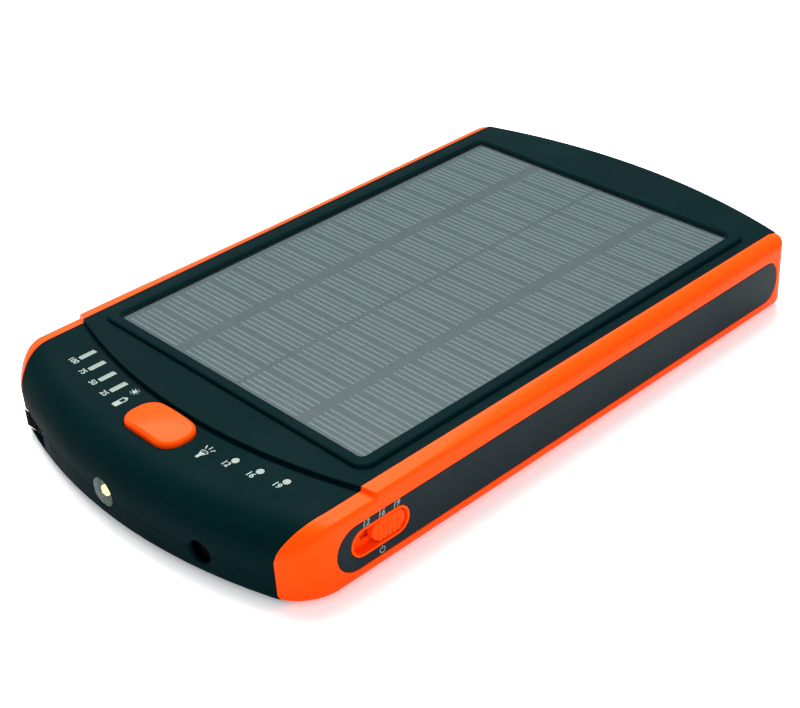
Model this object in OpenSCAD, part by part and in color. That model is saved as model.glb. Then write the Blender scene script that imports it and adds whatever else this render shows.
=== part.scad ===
// Slab-shaped solar power bank with a voltage selector, torch, USB outlet and round DC outlet.
// Millimetres. Origin on the ground under the middle of the slab, +Y to the far end, +Z up.

/* [Body] */
// Overall width across the side frames
body_w = 119; // [117:0.5:121]
// Length of the shell from the nose to the far edge
body_l = 200.5; // [198:0.5:204]
// Height of the platform round the panel, above the ground
body_top = 22.3; // [22:0.1:23]
// Height of the underside above the ground
foot_gap = 0.6; // [0.5:0.1:0.8]
// Plan radius of the front face
front_arc = 165; // [160:1:175]
// Plan radius of the far edge
far_arc = 195; // [190:1:205]
// Plan radius of the two front corners
front_corner = 14; // [12:1:16]
// Plan radius of the two far corners
far_corner = 4; // [3:0.5:5]
// Rounding between the deck and the front face
nose_round = 10; // [8:0.5:11]
// Rounding of the far top edge
far_round = 2; // [1.5:0.5:4]
// Rounding of the lower edge
base_round = 3.4; // [3:0.1:3.8]
// Height of the parting line between the two covers
split_z = 7.2; // [6.8:0.1:7.4]

/* [Control deck] */
// Drop from the platform to the control deck
deck_drop = 1.2; // [0.8:0.1:1.4]
// Plan radius of the step between platform and deck
step_arc = 180; // [170:1:190]
// Nearest point of the step to the front
step_y = -76.7; // [-77.5:0.1:-76]

/* [Shells] */
// Wall of the covers
wall = 1.8; // [1.6:0.1:2]
// Thickness of the side frames
trim_t = 1.6; // [1.5:0.1:1.8]
// Half width of the black top between the side frames
band_x = 55.2; // [55:0.1:55.6]
// Radius on which the band turns inward near the nose
band_arc = 26; // [24:1:28]
// Place along Y where the band starts to turn inward
band_turn_y = -78.4; // [-80:0.2:-77]
// Drop of the sloping shoulder beside the band
shoulder_drop = 1.2; // [1:0.1:1.4]
// Gap between shells that meet
seam = 0.05; // [0.03:0.01:0.1]

/* [Solar panel] */
// Width of the visible window
window_w = 96; // [95:0.5:97]
// Length of the visible window
window_l = 140.3; // [139:0.1:141]
// Front edge of the window
window_y = -60.9; // [-61.5:0.1:-60.5]
// Corner radius of the window
window_r = 1.7; // [1.2:0.1:2.2]
// Width of the raised bezel round the window
bezel_w = 4; // [3.4:0.1:4.4]
// Height of the bezel above the ground
bezel_top = 23.4; // [23.1:0.1:23.6]
// Height of the clear sheet above the ground
sheet_top = 22.6; // [22.4:0.1:22.7]
// Rows of cell strips
cell_rows = 15; // [15:1:15]
// Gap between neighbouring strips
cell_gap = 0.6; // [0.4:0.1:1]

/* [Button] */
// Width of the power button
button_w = 20.4; // [20:0.1:21]
// Length of the power button along Y
button_l = 11.4; // [11:0.1:12]
// Corner radius of the power button
button_r = 4.8; // [4.2:0.1:5.4]
// Place of the button along Y
button_y = -83.6; // [-84:0.1:-83]
// Travel of the button
button_travel = 0.5; // [0.3:0.05:0.6]

/* [Selector] */
// Middle of the slide recess along Y
recess_y = -66.55; // [-67:0.05:-66]
// Middle of the slide recess above the ground
recess_z = 10.75; // [10.5:0.05:11]
// Length of the slide recess
recess_l = 16.9; // [16.5:0.1:17.2]
// Height of the slide recess
recess_h = 6.4; // [6:0.1:6.6]
// Travel of the slide knob
knob_travel = 4.5; // [4:0.1:4.6]
// Clearance round the knob
knob_gap = 0.3; // [0.25:0.05:0.4]
// Ribs across the knob
knob_ribs = 7; // [5:1:8]

/* [Side inlay] */
// Front end of the inlay
inlay_y0 = -80.1; // [-80.5:0.1:-79.6]
// Far end of the inlay
inlay_y1 = 87.6; // [86:0.1:88]
// Lower edge of the inlay
inlay_z0 = 4.0; // [3.8:0.1:4.2]
// Upper edge of the inlay
inlay_z1 = 16.7; // [16.4:0.1:17]
// Corner radius at the far end of the inlay
inlay_far_r = 5.5; // [5:0.1:6]
// Thickness of the inlay
inlay_t = 1; // [0.8:0.1:1]

/* [Outlets] */
// Middle of the torch lamp along X
torch_x = -4.2; // [-4.5:0.1:-4]
// Middle of the torch lamp above the ground
torch_z = 8.2; // [8:0.1:8.4]
// Radius of the torch lens
torch_r = 4; // [3.8:0.1:4]
// Middle of the DC outlet along X
dc_x = 30.5; // [30:0.1:31]
// Radius of the DC outlet's barrel hole
dc_bore_r = 3; // [2.9:0.05:3.1]
// Radius of the DC outlet's centre pin
dc_pin_r = 1.05; // [0.95:0.05:1.25]
// Middle of the USB outlet along X
usb_x = -43.5; // [-44:0.1:-43]
// Middle of the USB outlet above the ground
usb_z = 5.65; // [5.6:0.05:5.7]

/* [Hidden] */
$fn = 96;

half_w = body_w / 2;
half_l = body_l / 2;
front_c = front_arc - half_l;         // centre of the front arc along Y
far_c = half_l - far_arc;             // centre of the far arc along Y
step_c = step_y + step_arc;           // centre of the step arc along Y
deck_top = body_top - deck_drop;
side_wall = trim_t + wall;            // side frame and cover wall together
big = 260;                            // larger than the body, for cutting blocks

window_mid = window_y + window_l / 2;
ledge_w = 4;                          // ledge that carries the panel
fit = 0.2;                            // clearance of the panel in its pocket
sheet_t = 0.5;
cell_t = 0.2;
panel_board_t = 1;
panel_tape_t = 0.3;
cell_top = sheet_top - sheet_t;
panel_board_top = cell_top - cell_t;
panel_tape_top = panel_board_top - panel_board_t;
ledge_top = panel_tape_top - panel_tape_t;
ledge_t = 1.2;

board_bottom = 8.5;
board_top = 10.1;
board_w = 98;
board_y0 = -88;
board_y1 = -57;

bar_w = 2.3;
bar_l = 5.5;
bar_places = [for (i = [0:3]) [-41 + 6.27 * i, step_at(-41 + 6.27 * i) - 4.6 - 0.05 * i]];
dot_r = 1.2;
dot_places = [for (i = [0:2]) [24.6 + 7.65 * i, step_at(24.6 + 7.65 * i) - 4.9]];
lamp_h = 0.7;
pipe_bottom = board_top + lamp_h + 0.3;

knob_l = recess_l - knob_travel - 2 * knob_gap;
knob_h = recess_h - 2 * knob_gap;
knob_y = recess_y + knob_travel / 2;  // at rest the knob is at the far end
tray_wall = 0.8;
tray_floor_x = half_w - side_wall + tray_wall;
lever_w = 1.4;
stem_w = 4;

plunger_top = 15;
switch_h = 3.2;
usb_w = 13.1;
usb_h = 5.7;
usb_mouth_y = -93;
usb_depth = 14;
dc_z = split_z;
dc_mouth_y = -94.6;
dc_depth = 14;
dc_back_y = dc_mouth_y + 11;
dc_root_r = 1.6;                      // thicker root of the centre pin, inside the housing
torch_face_y = -99.9;

cell_size = [47.6, 132, 7.2];
cell_y = 22;
case_screw_places = [for (s = [-1, 1], y = [-56, 12, 80]) [s * 52, y]];
board_screw_places = [[-14, -84.5], [16, -84.5], [-30, -61], [30, -61]];
foot_places = [for (s = [-1, 1], y = [-76, 78]) [s * 40, y]];

// Place of the step along Y at a distance x from the middle
function step_at(x) = step_c - sqrt(step_arc * step_arc - x * x);

// ---- shared shapes ----

// Wedge outside a corner arc, between its two tangent points
module corner_cut(c, r, dir) {
    translate(c) difference() {
        polygon([[0, 0], [2 * r, 0], [2 * r, sign(dir[1]) * 2 * r], 2 * r * dir]);
        circle(r);
    }
}

// Plan of the body, shrunk by d
module plan(d) {
    r1 = front_corner - d;
    c1 = [half_w - front_corner, front_c - sqrt(pow(front_arc - front_corner, 2) - pow(half_w - front_corner, 2))];
    r2 = max(far_corner - d, 0.5);
    c2 = [half_w - d - r2, far_c + sqrt(pow(far_arc - d - r2, 2) - pow(half_w - d - r2, 2))];
    u1 = (c1 - [0, front_c]) / norm(c1 - [0, front_c]);
    u2 = (c2 - [0, far_c]) / norm(c2 - [0, far_c]);
    difference() {
        intersection() {
            translate([0, front_c]) circle(front_arc - d, $fn = 360);
            translate([0, far_c]) circle(far_arc - d, $fn = 360);
            square([body_w - 2 * d, big], center = true);
        }
        for (s = [0, 1]) mirror([s, 0]) {
            corner_cut(c1, r1, u1);
            corner_cut(c2, r2, u2);
        }
    }
}

// Cross-section of the body in X and Z, shrunk by d
module section(d) {
    r = max(base_round - d, 0.8);
    w = half_w - d;
    z0 = foot_gap + d;
    difference() {
        polygon([
            [-w, z0], [w, z0], [w, body_top - shoulder_drop - d], [band_x, body_top - d],
            [-band_x, body_top - d], [-w, body_top - shoulder_drop - d]]);
        for (s = [0, 1]) mirror([s, 0]) translate([w - r, z0 + r]) difference() {
            translate([0, -2 * r]) square(2 * r);
            circle(r);
        }
    }
}

// Disc that rounds the front top and bottom edges, shrunk by d
module nose_disc(d) {
    r = nose_round - d;
    rb = max(base_round - d, 0.8);
    z0 = foot_gap + d;
    translate([0, front_c, 0]) rotate_extrude($fn = 360) union() {
        square([front_arc - nose_round, body_top + 1]);
        translate([0, z0 + rb]) square([front_arc - d, deck_top - nose_round - z0 - rb]);
        translate([0, z0]) square([front_arc - d - rb, rb + 1]);
        translate([front_arc - d - rb, z0 + rb]) circle(rb);
        intersection() {
            translate([front_arc - nose_round, deck_top - nose_round]) circle(r);
            translate([front_arc - nose_round - 1, deck_top - nose_round - 1]) square(r + 2);
        }
    }
}

// Disc that rounds the far edges, shrunk by d
module far_disc(d) {
    r = max(far_round - d, 0.5);
    rb = max(base_round - d, 0.8);
    z0 = foot_gap + d;
    z1 = body_top - d;
    translate([0, far_c, 0]) rotate_extrude($fn = 360) union() {
        translate([0, z0]) square([far_arc - d - rb, z1 - z0]);
        translate([0, z0 + rb]) square([far_arc - d, z1 - z0 - rb - r]);
        translate([0, z1 - r - 1]) square([far_arc - d - r, r + 1]);
        translate([far_arc - d - rb, z0 + rb]) circle(rb);
        translate([far_arc - d - r, z1 - r]) circle(r);
    }
}

// Outer shape of the whole body, shrunk by d
module envelope(d) {
    far_x = half_w + 5;               // end of the deck's sloping shoulder, past the side face
    far_z = deck_top - d - shoulder_drop * (far_x - band_x) / (half_w - d - band_x);
    difference() {
        intersection() {
            linear_extrude(body_top - d) plan(d);
            rotate([90, 0, 0]) linear_extrude(big, center = true) section(d);
            nose_disc(d);
            far_disc(d);
        }
        difference() {
            rotate([90, 0, 0]) linear_extrude(big / 2) polygon([
                [-far_x, far_z], [-band_x, deck_top - d], [band_x, deck_top - d], [far_x, far_z],
                [far_x, big], [-far_x, big]]);
            translate([0, step_c, 0]) cylinder(h = big, r = step_arc - d, $fn = 360);
        }
    }
}

// Block between the two side frames, narrowed by d
module middle(d) {
    linear_extrude(body_top + 5) union() {
        translate([d - band_x, band_turn_y]) square([2 * (band_x - d), big / 2 - band_turn_y]);
        translate([band_arc - band_x, -big / 2]) square([2 * (band_x - band_arc), big]);
        for (s = [-1, 1]) translate([s * (band_x - band_arc), band_turn_y]) circle(band_arc - d);
    }
}

// Rounded rectangle centred on the origin
module pad(w, l, r) {
    union() {
        square([w - 2 * r, l], center = true);
        square([w, l - 2 * r], center = true);
        for (x = [-1, 1], y = [-1, 1]) translate([x * (w / 2 - r), y * (l / 2 - r)]) circle(r);
    }
}

// Turns a plan drawn in Y and Z into a slab along X from x0 to x1
module side_slab(x0, x1) {
    translate([x0, 0, 0]) rotate([90, 0, 90]) linear_extrude(x1 - x0) children();
}

// Round bar along Y from y0 to y1
module bar_y(x, z, r, y0, y1) {
    translate([x, y0, z]) rotate([-90, 0, 0]) cylinder(h = y1 - y0, r = r);
}

// Round wire through points, with ball corners
module wire(points, r) {
    for (i = [0:len(points) - 2]) {
        v = points[i + 1] - points[i];
        translate(points[i])
            rotate([0, acos(v[2] / norm(v)), atan2(v[1], v[0])])
                cylinder(h = norm(v), r = r, $fn = 24);
    }
    if (len(points) > 2) for (i = [1:len(points) - 2]) translate(points[i]) sphere(r, $fn = 24);
}

// Block from one corner to the opposite one
module block(low, high) {
    translate(low) cube(high - low);
}

// Plan of the slide recess grown by d
module recess_plan(d) {
    translate([recess_y, recess_z])
        pad(recess_l + 2 * d, recess_h + 2 * d, recess_h / 2 + d - 0.001);
}

// Plan of the side inlay grown by d
module inlay_plan(d) {
    z0 = inlay_z0 - d;
    h = inlay_z1 - inlay_z0 + 2 * d;
    r = inlay_far_r + d;
    y1 = inlay_y1 + d;
    union() {
        translate([inlay_y0 + (h / 2 - d), z0 + h / 2]) circle(h / 2);
        translate([inlay_y0 + (h / 2 - d), z0]) square([y1 - r - inlay_y0 - h / 2 + d, h]);
        translate([y1 - 2 * r, z0 + r]) square([2 * r, h - 2 * r]);
        for (z = [z0 + r, z0 + h - r]) translate([y1 - r, z]) circle(r);
    }
}

// ---- covers ----

// Openings through the front wall, for lamp, outlets and selector tray
module wall_openings() {
    bar_y(torch_x, torch_z, torch_r + 0.1, -half_l - 5, -90);
    bar_y(dc_x, dc_z, dc_bore_r + 0.35, -half_l - 5, -90);
    translate([usb_x, -90, usb_z]) rotate([90, 0, 0]) linear_extrude(20) pad(usb_w + 0.9, usb_h + 0.5, 0.6);
    side_slab(half_w - side_wall - 2, half_w) recess_plan(tray_wall + 0.15);
}

module cover_shell() {
    difference() {
        union() {
            intersection() {
                envelope(0);
                middle(seam);
            }
            envelope(trim_t + seam);
        }
        union() {
            intersection() {
                envelope(wall);
                middle(wall);
            }
            envelope(side_wall);
        }
        wall_openings();
    }
}

module top_cover() {
    color([0.1, 0.15, 0.16]) difference() {
        union() {
            intersection() {
                cover_shell();
                block([-big, -big, split_z], [big, big, body_top]);
            }
            // raised bezel
            translate([0, window_mid, body_top - 0.5]) linear_extrude(bezel_top - body_top + 0.5)
                pad(window_w + 2 * bezel_w, window_l + 2 * bezel_w - 1, 4);
            // ledge under the panel
            translate([0, window_mid, ledge_top - ledge_t]) linear_extrude(body_top - wall - ledge_top + ledge_t + 0.2)
                pad(window_w + 6, window_l + 6, 3);
            // screw bosses
            for (p = case_screw_places)
                translate([p[0], p[1], split_z]) cylinder(h = body_top - wall - split_z - 1, r = 2.8);
        }
        translate([0, window_mid, ledge_top]) linear_extrude(10) pad(window_w, window_l, window_r);
        translate([0, window_mid, 0]) linear_extrude(big) pad(window_w - 2 * ledge_w, window_l - 2 * ledge_w, 3);
        translate([0, button_y, 0]) linear_extrude(big) pad(button_w + 0.5, button_l + 0.5, button_r + 0.25);
        for (p = bar_places) translate([p[0], p[1], 0]) linear_extrude(big) pad(bar_w, bar_l, 0.3);
        for (p = dot_places) translate([p[0], p[1], 0]) cylinder(h = big, r = dot_r);
        for (p = case_screw_places) translate([p[0], p[1], 0]) cylinder(h = 17, r = 1.3);
    }
}

module bottom_cover() {
    color([0.08, 0.12, 0.13]) difference() {
        union() {
            intersection() {
                cover_shell();
                block([-big, -big, 0], [big, big, split_z - seam]);
            }
            for (p = case_screw_places)
                translate([p[0], p[1], foot_gap + 1]) cylinder(h = split_z - seam - foot_gap - 1, r = 2.8);
            for (p = board_screw_places)
                translate([p[0], p[1], foot_gap + 1]) cylinder(h = board_bottom - foot_gap - 1, r = 2.4);
        }
        for (p = case_screw_places) translate([p[0], p[1], 0]) {
            cylinder(h = split_z + 1, r = 1.5);
            cylinder(h = foot_gap + 1.8, r = 2.6);
        }
        for (p = board_screw_places) translate([p[0], p[1], 4]) cylinder(h = 10, r = 1.05);
        for (p = foot_places) translate([p[0], p[1], 0]) cylinder(h = foot_gap + 0.8, r = 5.05);
    }
}

// ---- side frames ----

// Channel-shaped frame on the +X side, with its pocket for the inlay
module side_frame() {
    difference() {
        intersection() {
            envelope(0);
            block([0, -big, 0], [big, big, big]);
        }
        envelope(trim_t);
        middle(0);
        side_slab(half_w - inlay_t, half_w + 1) inlay_plan(seam);
    }
}

module side_frame_right() {
    color([1, 0.37, 0.12]) difference() {
        union() {
            difference() {
                side_frame();
                side_slab(half_w - side_wall, half_w) recess_plan(0);
            }
            side_slab(half_w - side_wall, half_w) difference() {
                recess_plan(tray_wall);
                recess_plan(0);
            }
            side_slab(half_w - side_wall, tray_floor_x) recess_plan(0.2);
        }
        block([50, recess_y - (stem_w + knob_travel) / 2 - knob_gap, recess_z - 1.5],
            [tray_floor_x + 1, recess_y + (stem_w + knob_travel) / 2 + knob_gap, recess_z + 1.5]);
    }
}

module side_frame_left() {
    color([1, 0.37, 0.12]) mirror([1, 0, 0]) side_frame();
}

module side_inlay_right() {
    color([0.16, 0.18, 0.19]) difference() {
        side_slab(half_w - inlay_t + seam, half_w) inlay_plan(0);
        side_slab(half_w - inlay_t - 1, half_w + 1) recess_plan(tray_wall + seam);
    }
}

module side_inlay_left() {
    color([0.16, 0.18, 0.19]) mirror([1, 0, 0]) side_slab(half_w - inlay_t + seam, half_w) inlay_plan(0);
}

// ---- solar panel ----

module panel_sheet() {
    color([0.8, 0.88, 0.9, 0.35]) translate([0, window_mid, cell_top])
        linear_extrude(sheet_t) pad(window_w - fit, window_l - fit, window_r - fit / 2);
}

module solar_cells() {
    strip_w = (window_w - fit) / 2 - cell_gap;
    pitch = (window_l - fit) / cell_rows;
    color([0.4, 0.5, 0.51]) for (s = [-1, 1], i = [0:cell_rows - 1])
        translate([s * (strip_w + cell_gap) / 2, window_y + fit / 2 + pitch * (i + 0.5), panel_board_top + cell_t / 2])
            cube([strip_w, pitch - cell_gap, cell_t], center = true);
}

module panel_board() {
    color([0.1, 0.25, 0.2]) translate([0, window_mid, panel_tape_top])
        linear_extrude(panel_board_t) pad(window_w - fit, window_l - fit, window_r - fit / 2);
}

module panel_tape() {
    color([0.9, 0.9, 0.86]) translate([0, window_mid, ledge_top]) linear_extrude(panel_tape_t) difference() {
        pad(window_w - fit, window_l - fit, window_r - fit / 2);
        pad(window_w - 2 * ledge_w + 1, window_l - 2 * ledge_w + 1, 2.5);
    }
}

module panel_leads() {
    drop_y = -51;
    color([0.75, 0.1, 0.08]) for (x = [-20, -17])
        wire([[x, drop_y, panel_tape_top], [x, drop_y, 14], [x, -58.6, 14], [x, -58.6, board_top]], 0.6);
}

// ---- power button and its switch ----

module power_button() {
    crown_r = 60;
    crown_top = 23.1;
    flange_top = deck_top - wall - 0.15;
    color([1, 0.42, 0.13]) translate([0, button_y, 0]) {
        intersection() {
            translate([0, 0, flange_top - 0.85]) linear_extrude(10) pad(button_w, button_l, button_r);
            translate([0, 0, crown_top - crown_r]) sphere(crown_r, $fn = 200);
        }
        translate([0, 0, flange_top - 0.85]) linear_extrude(0.85) pad(button_w + 2.2, button_l + 2.2, button_r + 1.1);
        translate([0, 0, plunger_top + 0.02]) cylinder(h = flange_top - plunger_top - 0.5, r = 2);
    }
}

module push_switch_body() {
    color([0.12, 0.12, 0.12]) difference() {
        translate([-3, button_y - 3, board_top]) cube([6, 6, switch_h]);
        translate([0, button_y, board_top + switch_h - 1.5]) cylinder(h = 5, r = 1.8);
    }
}

module push_switch_plunger() {
    z0 = board_top + switch_h - 0.8;
    color([0.85, 0.84, 0.8]) translate([0, button_y, z0]) cylinder(h = plunger_top - z0, r = 1.6);
}

// ---- lights ----

module battery_light_pipes() {
    color([0.75, 0.82, 0.8]) for (p = bar_places) translate([p[0], p[1], pipe_bottom])
        linear_extrude(deck_top - pipe_bottom) pad(bar_w - 0.1, bar_l - 0.1, 0.25);
}

module voltage_light_pipes() {
    color([0.75, 0.82, 0.8]) for (p = dot_places) translate([p[0], p[1], pipe_bottom]) union() {
        cylinder(h = deck_top - pipe_bottom - 0.2, r = dot_r - 0.05);
        intersection() {
            translate([0, 0, deck_top - pipe_bottom - 2]) sphere(2.1, $fn = 48);
            cylinder(h = 20, r = dot_r - 0.05);
        }
    }
}

module indicator_lamps() {
    color([0.9, 0.9, 0.8]) for (p = concat(bar_places, dot_places))
        translate([p[0], p[1], board_top + lamp_h / 2]) cube([0.8, 1.6, lamp_h], center = true);
}

// ---- voltage selector ----

module slide_knob() {
    base_x = tray_floor_x + knob_gap;
    top_x = half_w - 0.1;
    rib_pitch = (knob_l - knob_h / 2) / knob_ribs;
    color([1, 0.4, 0.13]) difference() {
        union() {
            side_slab(base_x, top_x - 0.7) translate([knob_y, recess_z]) pad(knob_l, knob_h, knob_h / 2 - 0.001);
            side_slab(top_x - 0.7, top_x) intersection() {
                translate([knob_y, recess_z]) pad(knob_l, knob_h, knob_h / 2 - 0.001);
                for (i = [0:knob_ribs - 1])
                    translate([knob_y + (i - (knob_ribs - 1) / 2) * rib_pitch, recess_z])
                        square([rib_pitch * 0.55, knob_h], center = true);
            }
            block([52.6, knob_y - stem_w / 2, recess_z - 1.2], [base_x + 0.5, knob_y + stem_w / 2, recess_z + 1.2]);
        }
        block([50, knob_y - lever_w / 2 - 0.15, recess_z - 2], [56, knob_y + lever_w / 2 + 0.15, recess_z + 2]);
    }
}

module slide_switch_body() {
    half = (lever_w + knob_travel) / 2 + 0.3;
    color([0.55, 0.57, 0.6]) difference() {
        block([45, recess_y - 6.3, recess_z - 1.85], [52, recess_y + 6.3, recess_z + 1.85]);
        block([49, recess_y - half, recess_z - 1.1], [53, recess_y + half, recess_z + 1.1]);
    }
}

module slide_switch_lever() {
    color([0.1, 0.1, 0.1])
        block([49.3, knob_y - lever_w / 2, recess_z - 0.8], [55.6, knob_y + lever_w / 2, recess_z + 0.8]);
}

// ---- torch lamp ----

module torch_lens() {
    back_y = -93;
    dome_r = 7.5;
    face = back_y - torch_face_y;     // from the flange's back to the rim of the dome
    color([0.85, 0.92, 0.92, 0.4]) translate([torch_x, back_y, torch_z]) rotate([90, 0, 0]) rotate_extrude()
        difference() {
            union() {
                square([torch_r + 0.6, 1.2]);
                square([torch_r, face]);
                intersection() {
                    translate([0, face - sqrt(dome_r * dome_r - torch_r * torch_r)]) circle(dome_r);
                    square([torch_r, 20]);
                }
            }
            translate([-1, -1]) square([torch_r + 0.2, 6.2]);
        }
}

module torch_reflector() {
    color([0.8, 0.8, 0.8]) difference() {
        bar_y(torch_x, torch_z, torch_r - 0.85, -98, -94);
        translate([torch_x, -96.3, torch_z]) rotate([90, 0, 0]) cylinder(h = 2, r1 = 1.6, r2 = 3.3);
    }
}

module torch_chip() {
    color([0.95, 0.85, 0.3]) block([torch_x - 1.1, -96.7, torch_z - 1.1], [torch_x + 1.1, -96.3, torch_z + 1.1]);
}

module torch_leads() {
    color([0.75, 0.75, 0.75]) for (x = [torch_x - 1.27, torch_x + 1.27])
        wire([[x, -94, torch_z], [x, -87, torch_z], [x, -87, board_bottom]], 0.28);
}

// ---- USB outlet ----

module usb_shell() {
    skin = 0.3;
    color([0.75, 0.76, 0.78]) difference() {
        block([usb_x - usb_w / 2, usb_mouth_y, usb_z - usb_h / 2],
            [usb_x + usb_w / 2, usb_mouth_y + usb_depth, usb_z + usb_h / 2]);
        block([usb_x - usb_w / 2 + skin, usb_mouth_y - 1, usb_z - usb_h / 2 + skin],
            [usb_x + usb_w / 2 - skin, usb_mouth_y + usb_depth - skin, usb_z + usb_h / 2 - skin]);
    }
}

module usb_tongue() {
    color([0.93, 0.93, 0.92])
        block([usb_x - 5.6, usb_mouth_y + 1.4, usb_z + 0.45], [usb_x + 5.6, usb_mouth_y + usb_depth - 0.3, usb_z + 2.35]);
}

module usb_contacts() {
    color([0.85, 0.68, 0.3]) for (i = [0:3]) translate([usb_x - 3.5 + i * 7 / 3, usb_mouth_y + 2, usb_z + 0.25])
        translate([-0.5, 0, 0]) cube([1, 10, 0.2]);
}

// ---- DC outlet ----

module dc_housing() {
    color([0.09, 0.09, 0.09]) difference() {
        block([dc_x - 4.5, dc_mouth_y, dc_z - 4.5], [dc_x + 4.5, dc_mouth_y + dc_depth, dc_z + 4.5]);
        bar_y(dc_x, dc_z, dc_bore_r, dc_mouth_y - 1, dc_back_y);
        bar_y(dc_x, dc_z, dc_root_r + 0.02, dc_mouth_y - 1, dc_mouth_y + dc_depth + 1);
        block([dc_x - 0.8, dc_mouth_y + 2, dc_z - dc_bore_r - 0.7], [dc_x + 0.8, dc_back_y, dc_z - 2.2]);
        // relief for the rounded inside corner of the bottom cover
        block([dc_x - 5, dc_mouth_y - 1, 0], [dc_x + 5, dc_mouth_y + 1, dc_z - 3.5]);
    }
}

module dc_centre_pin() {
    color([0.85, 0.85, 0.86]) union() {
        bar_y(dc_x, dc_z, dc_pin_r, dc_mouth_y + 1.2, dc_back_y);
        bar_y(dc_x, dc_z, dc_root_r, dc_back_y, dc_mouth_y + dc_depth);
    }
}

module dc_spring_contact() {
    color([0.8, 0.8, 0.82]) block([dc_x - 0.7, dc_mouth_y + 2.2, dc_z - dc_bore_r - 0.6],
        [dc_x + 0.7, dc_back_y - 0.1, dc_z - dc_bore_r - 0.2]);
}

// ---- main board ----

module main_board() {
    color([0.08, 0.3, 0.16]) difference() {
        block([-board_w / 2, board_y0, board_bottom], [board_w / 2, board_y1, board_top]);
        block([dc_x - 5, board_y0 - 1, 0], [dc_x + 5, dc_mouth_y + dc_depth + 0.5, big]);
        block([44.6, recess_y - 6.7, 0], [60, recess_y + 6.7, big]);
        for (p = board_screw_places) translate([p[0], p[1], 0]) cylinder(h = 20, r = 1.2);
    }
}

module power_inductors() {
    color([0.2, 0.2, 0.21]) {
        translate([12, -70, board_top]) linear_extrude(5.6) pad(11, 11, 2);
        translate([-9, -70, board_top]) linear_extrude(4.8) pad(9, 9, 1.6);
    }
}

module filter_capacitors() {
    color([0.15, 0.2, 0.35]) for (p = [[24, -69], [31.5, -69.5], [39, -67]])
        translate([p[0], p[1], board_top]) cylinder(h = 8, r = 3.15);
}

module controller_chips() {
    color([0.06, 0.06, 0.07]) {
        translate([-23, -68, board_top]) linear_extrude(0.9) pad(7, 7, 0.3);
        translate([-40, -68, board_top]) linear_extrude(1.4) pad(10, 6, 0.3);
        translate([-9, -61, board_top]) linear_extrude(1.2) pad(5, 4, 0.3);
    }
}

// ---- battery ----

module battery_socket() {
    color([0.92, 0.9, 0.84]) difference() {
        block([0, -63.5, board_top], [11, -58, board_top + 4.8]);
        block([0.9, -62.6, board_top + 1], [10.1, -57, board_top + 6]);
    }
}

module battery_plug() {
    color([0.95, 0.93, 0.88]) block([1, -62.5, board_top + 1.05], [10, -58.1, board_top + 4.6]);
}

module battery_leads() {
    lead_z = 12.9;
    color([0.7, 0.08, 0.06]) for (x = [3.5, 7.5])
        wire([[x, -58.1, lead_z], [x, -50, lead_z], [x, -50, 10.4]], 0.8);
}

module protection_board() {
    color([0.05, 0.2, 0.3]) block([-30, -53, 9.4], [30, -46, 10.4]);
}

module battery_cells() {
    color([0.72, 0.73, 0.75]) for (s = [-1, 1], z = [2.8, 10.4])
        translate([s * (cell_size[0] / 2 + 0.6), cell_y, z])
            linear_extrude(cell_size[2]) pad(cell_size[0], cell_size[1], 1.5);
}

module cell_tape() {
    color([0.95, 0.95, 0.9]) for (s = [-1, 1])
        translate([s * 24.4, cell_y, foot_gap + wall]) linear_extrude(0.35) pad(36, 116, 1);
}

module foam_pads() {
    color([0.15, 0.15, 0.16]) for (s = [-1, 1], y = [-28, 20, 62])
        translate([s * 24.4, y, 17.65]) linear_extrude(panel_tape_top - 17.7) pad(38, 9, 1);
}

// ---- fasteners and feet ----

module case_screws() {
    color([0.35, 0.35, 0.36]) for (p = case_screw_places) translate([p[0], p[1], foot_gap + 0.3]) difference() {
        union() {
            cylinder(h = 1.4, r = 2.4);
            cylinder(h = 12, r = 1.2);
        }
        for (a = [0, 90]) rotate([0, 0, a]) translate([0, 0, 0.3]) cube([2.6, 0.5, 1.4], center = true);
    }
}

module board_screws() {
    color([0.7, 0.7, 0.72]) for (p = board_screw_places) translate([p[0], p[1], 4.6]) union() {
        cylinder(h = board_top - 4.6, r = 1);
        translate([0, 0, board_top - 4.6]) cylinder(h = 1.1, r = 1.9);
    }
}

module rubber_feet() {
    color([0.05, 0.05, 0.05]) for (p = foot_places) translate([p[0], p[1], 0]) cylinder(h = foot_gap + 0.78, r = 5);
}

top_cover();
bottom_cover();
side_frame_left();
side_frame_right();
side_inlay_left();
side_inlay_right();
panel_sheet();
solar_cells();
panel_board();
panel_tape();
panel_leads();
power_button();
push_switch_body();
push_switch_plunger();
battery_light_pipes();
voltage_light_pipes();
indicator_lamps();
slide_knob();
slide_switch_body();
slide_switch_lever();
torch_lens();
torch_reflector();
torch_chip();
torch_leads();
usb_shell();
usb_tongue();
usb_contacts();
dc_housing();
dc_centre_pin();
dc_spring_contact();
main_board();
power_inductors();
filter_capacitors();
controller_chips();
battery_socket();
battery_plug();
battery_leads();
protection_board();
battery_cells();
cell_tape();
foam_pads();
case_screws();
board_screws();
rubber_feet();
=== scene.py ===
import math

import bmesh
import bpy
from mathutils import Matrix, Vector
from mathutils.geometry import delaunay_2d_cdt


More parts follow.
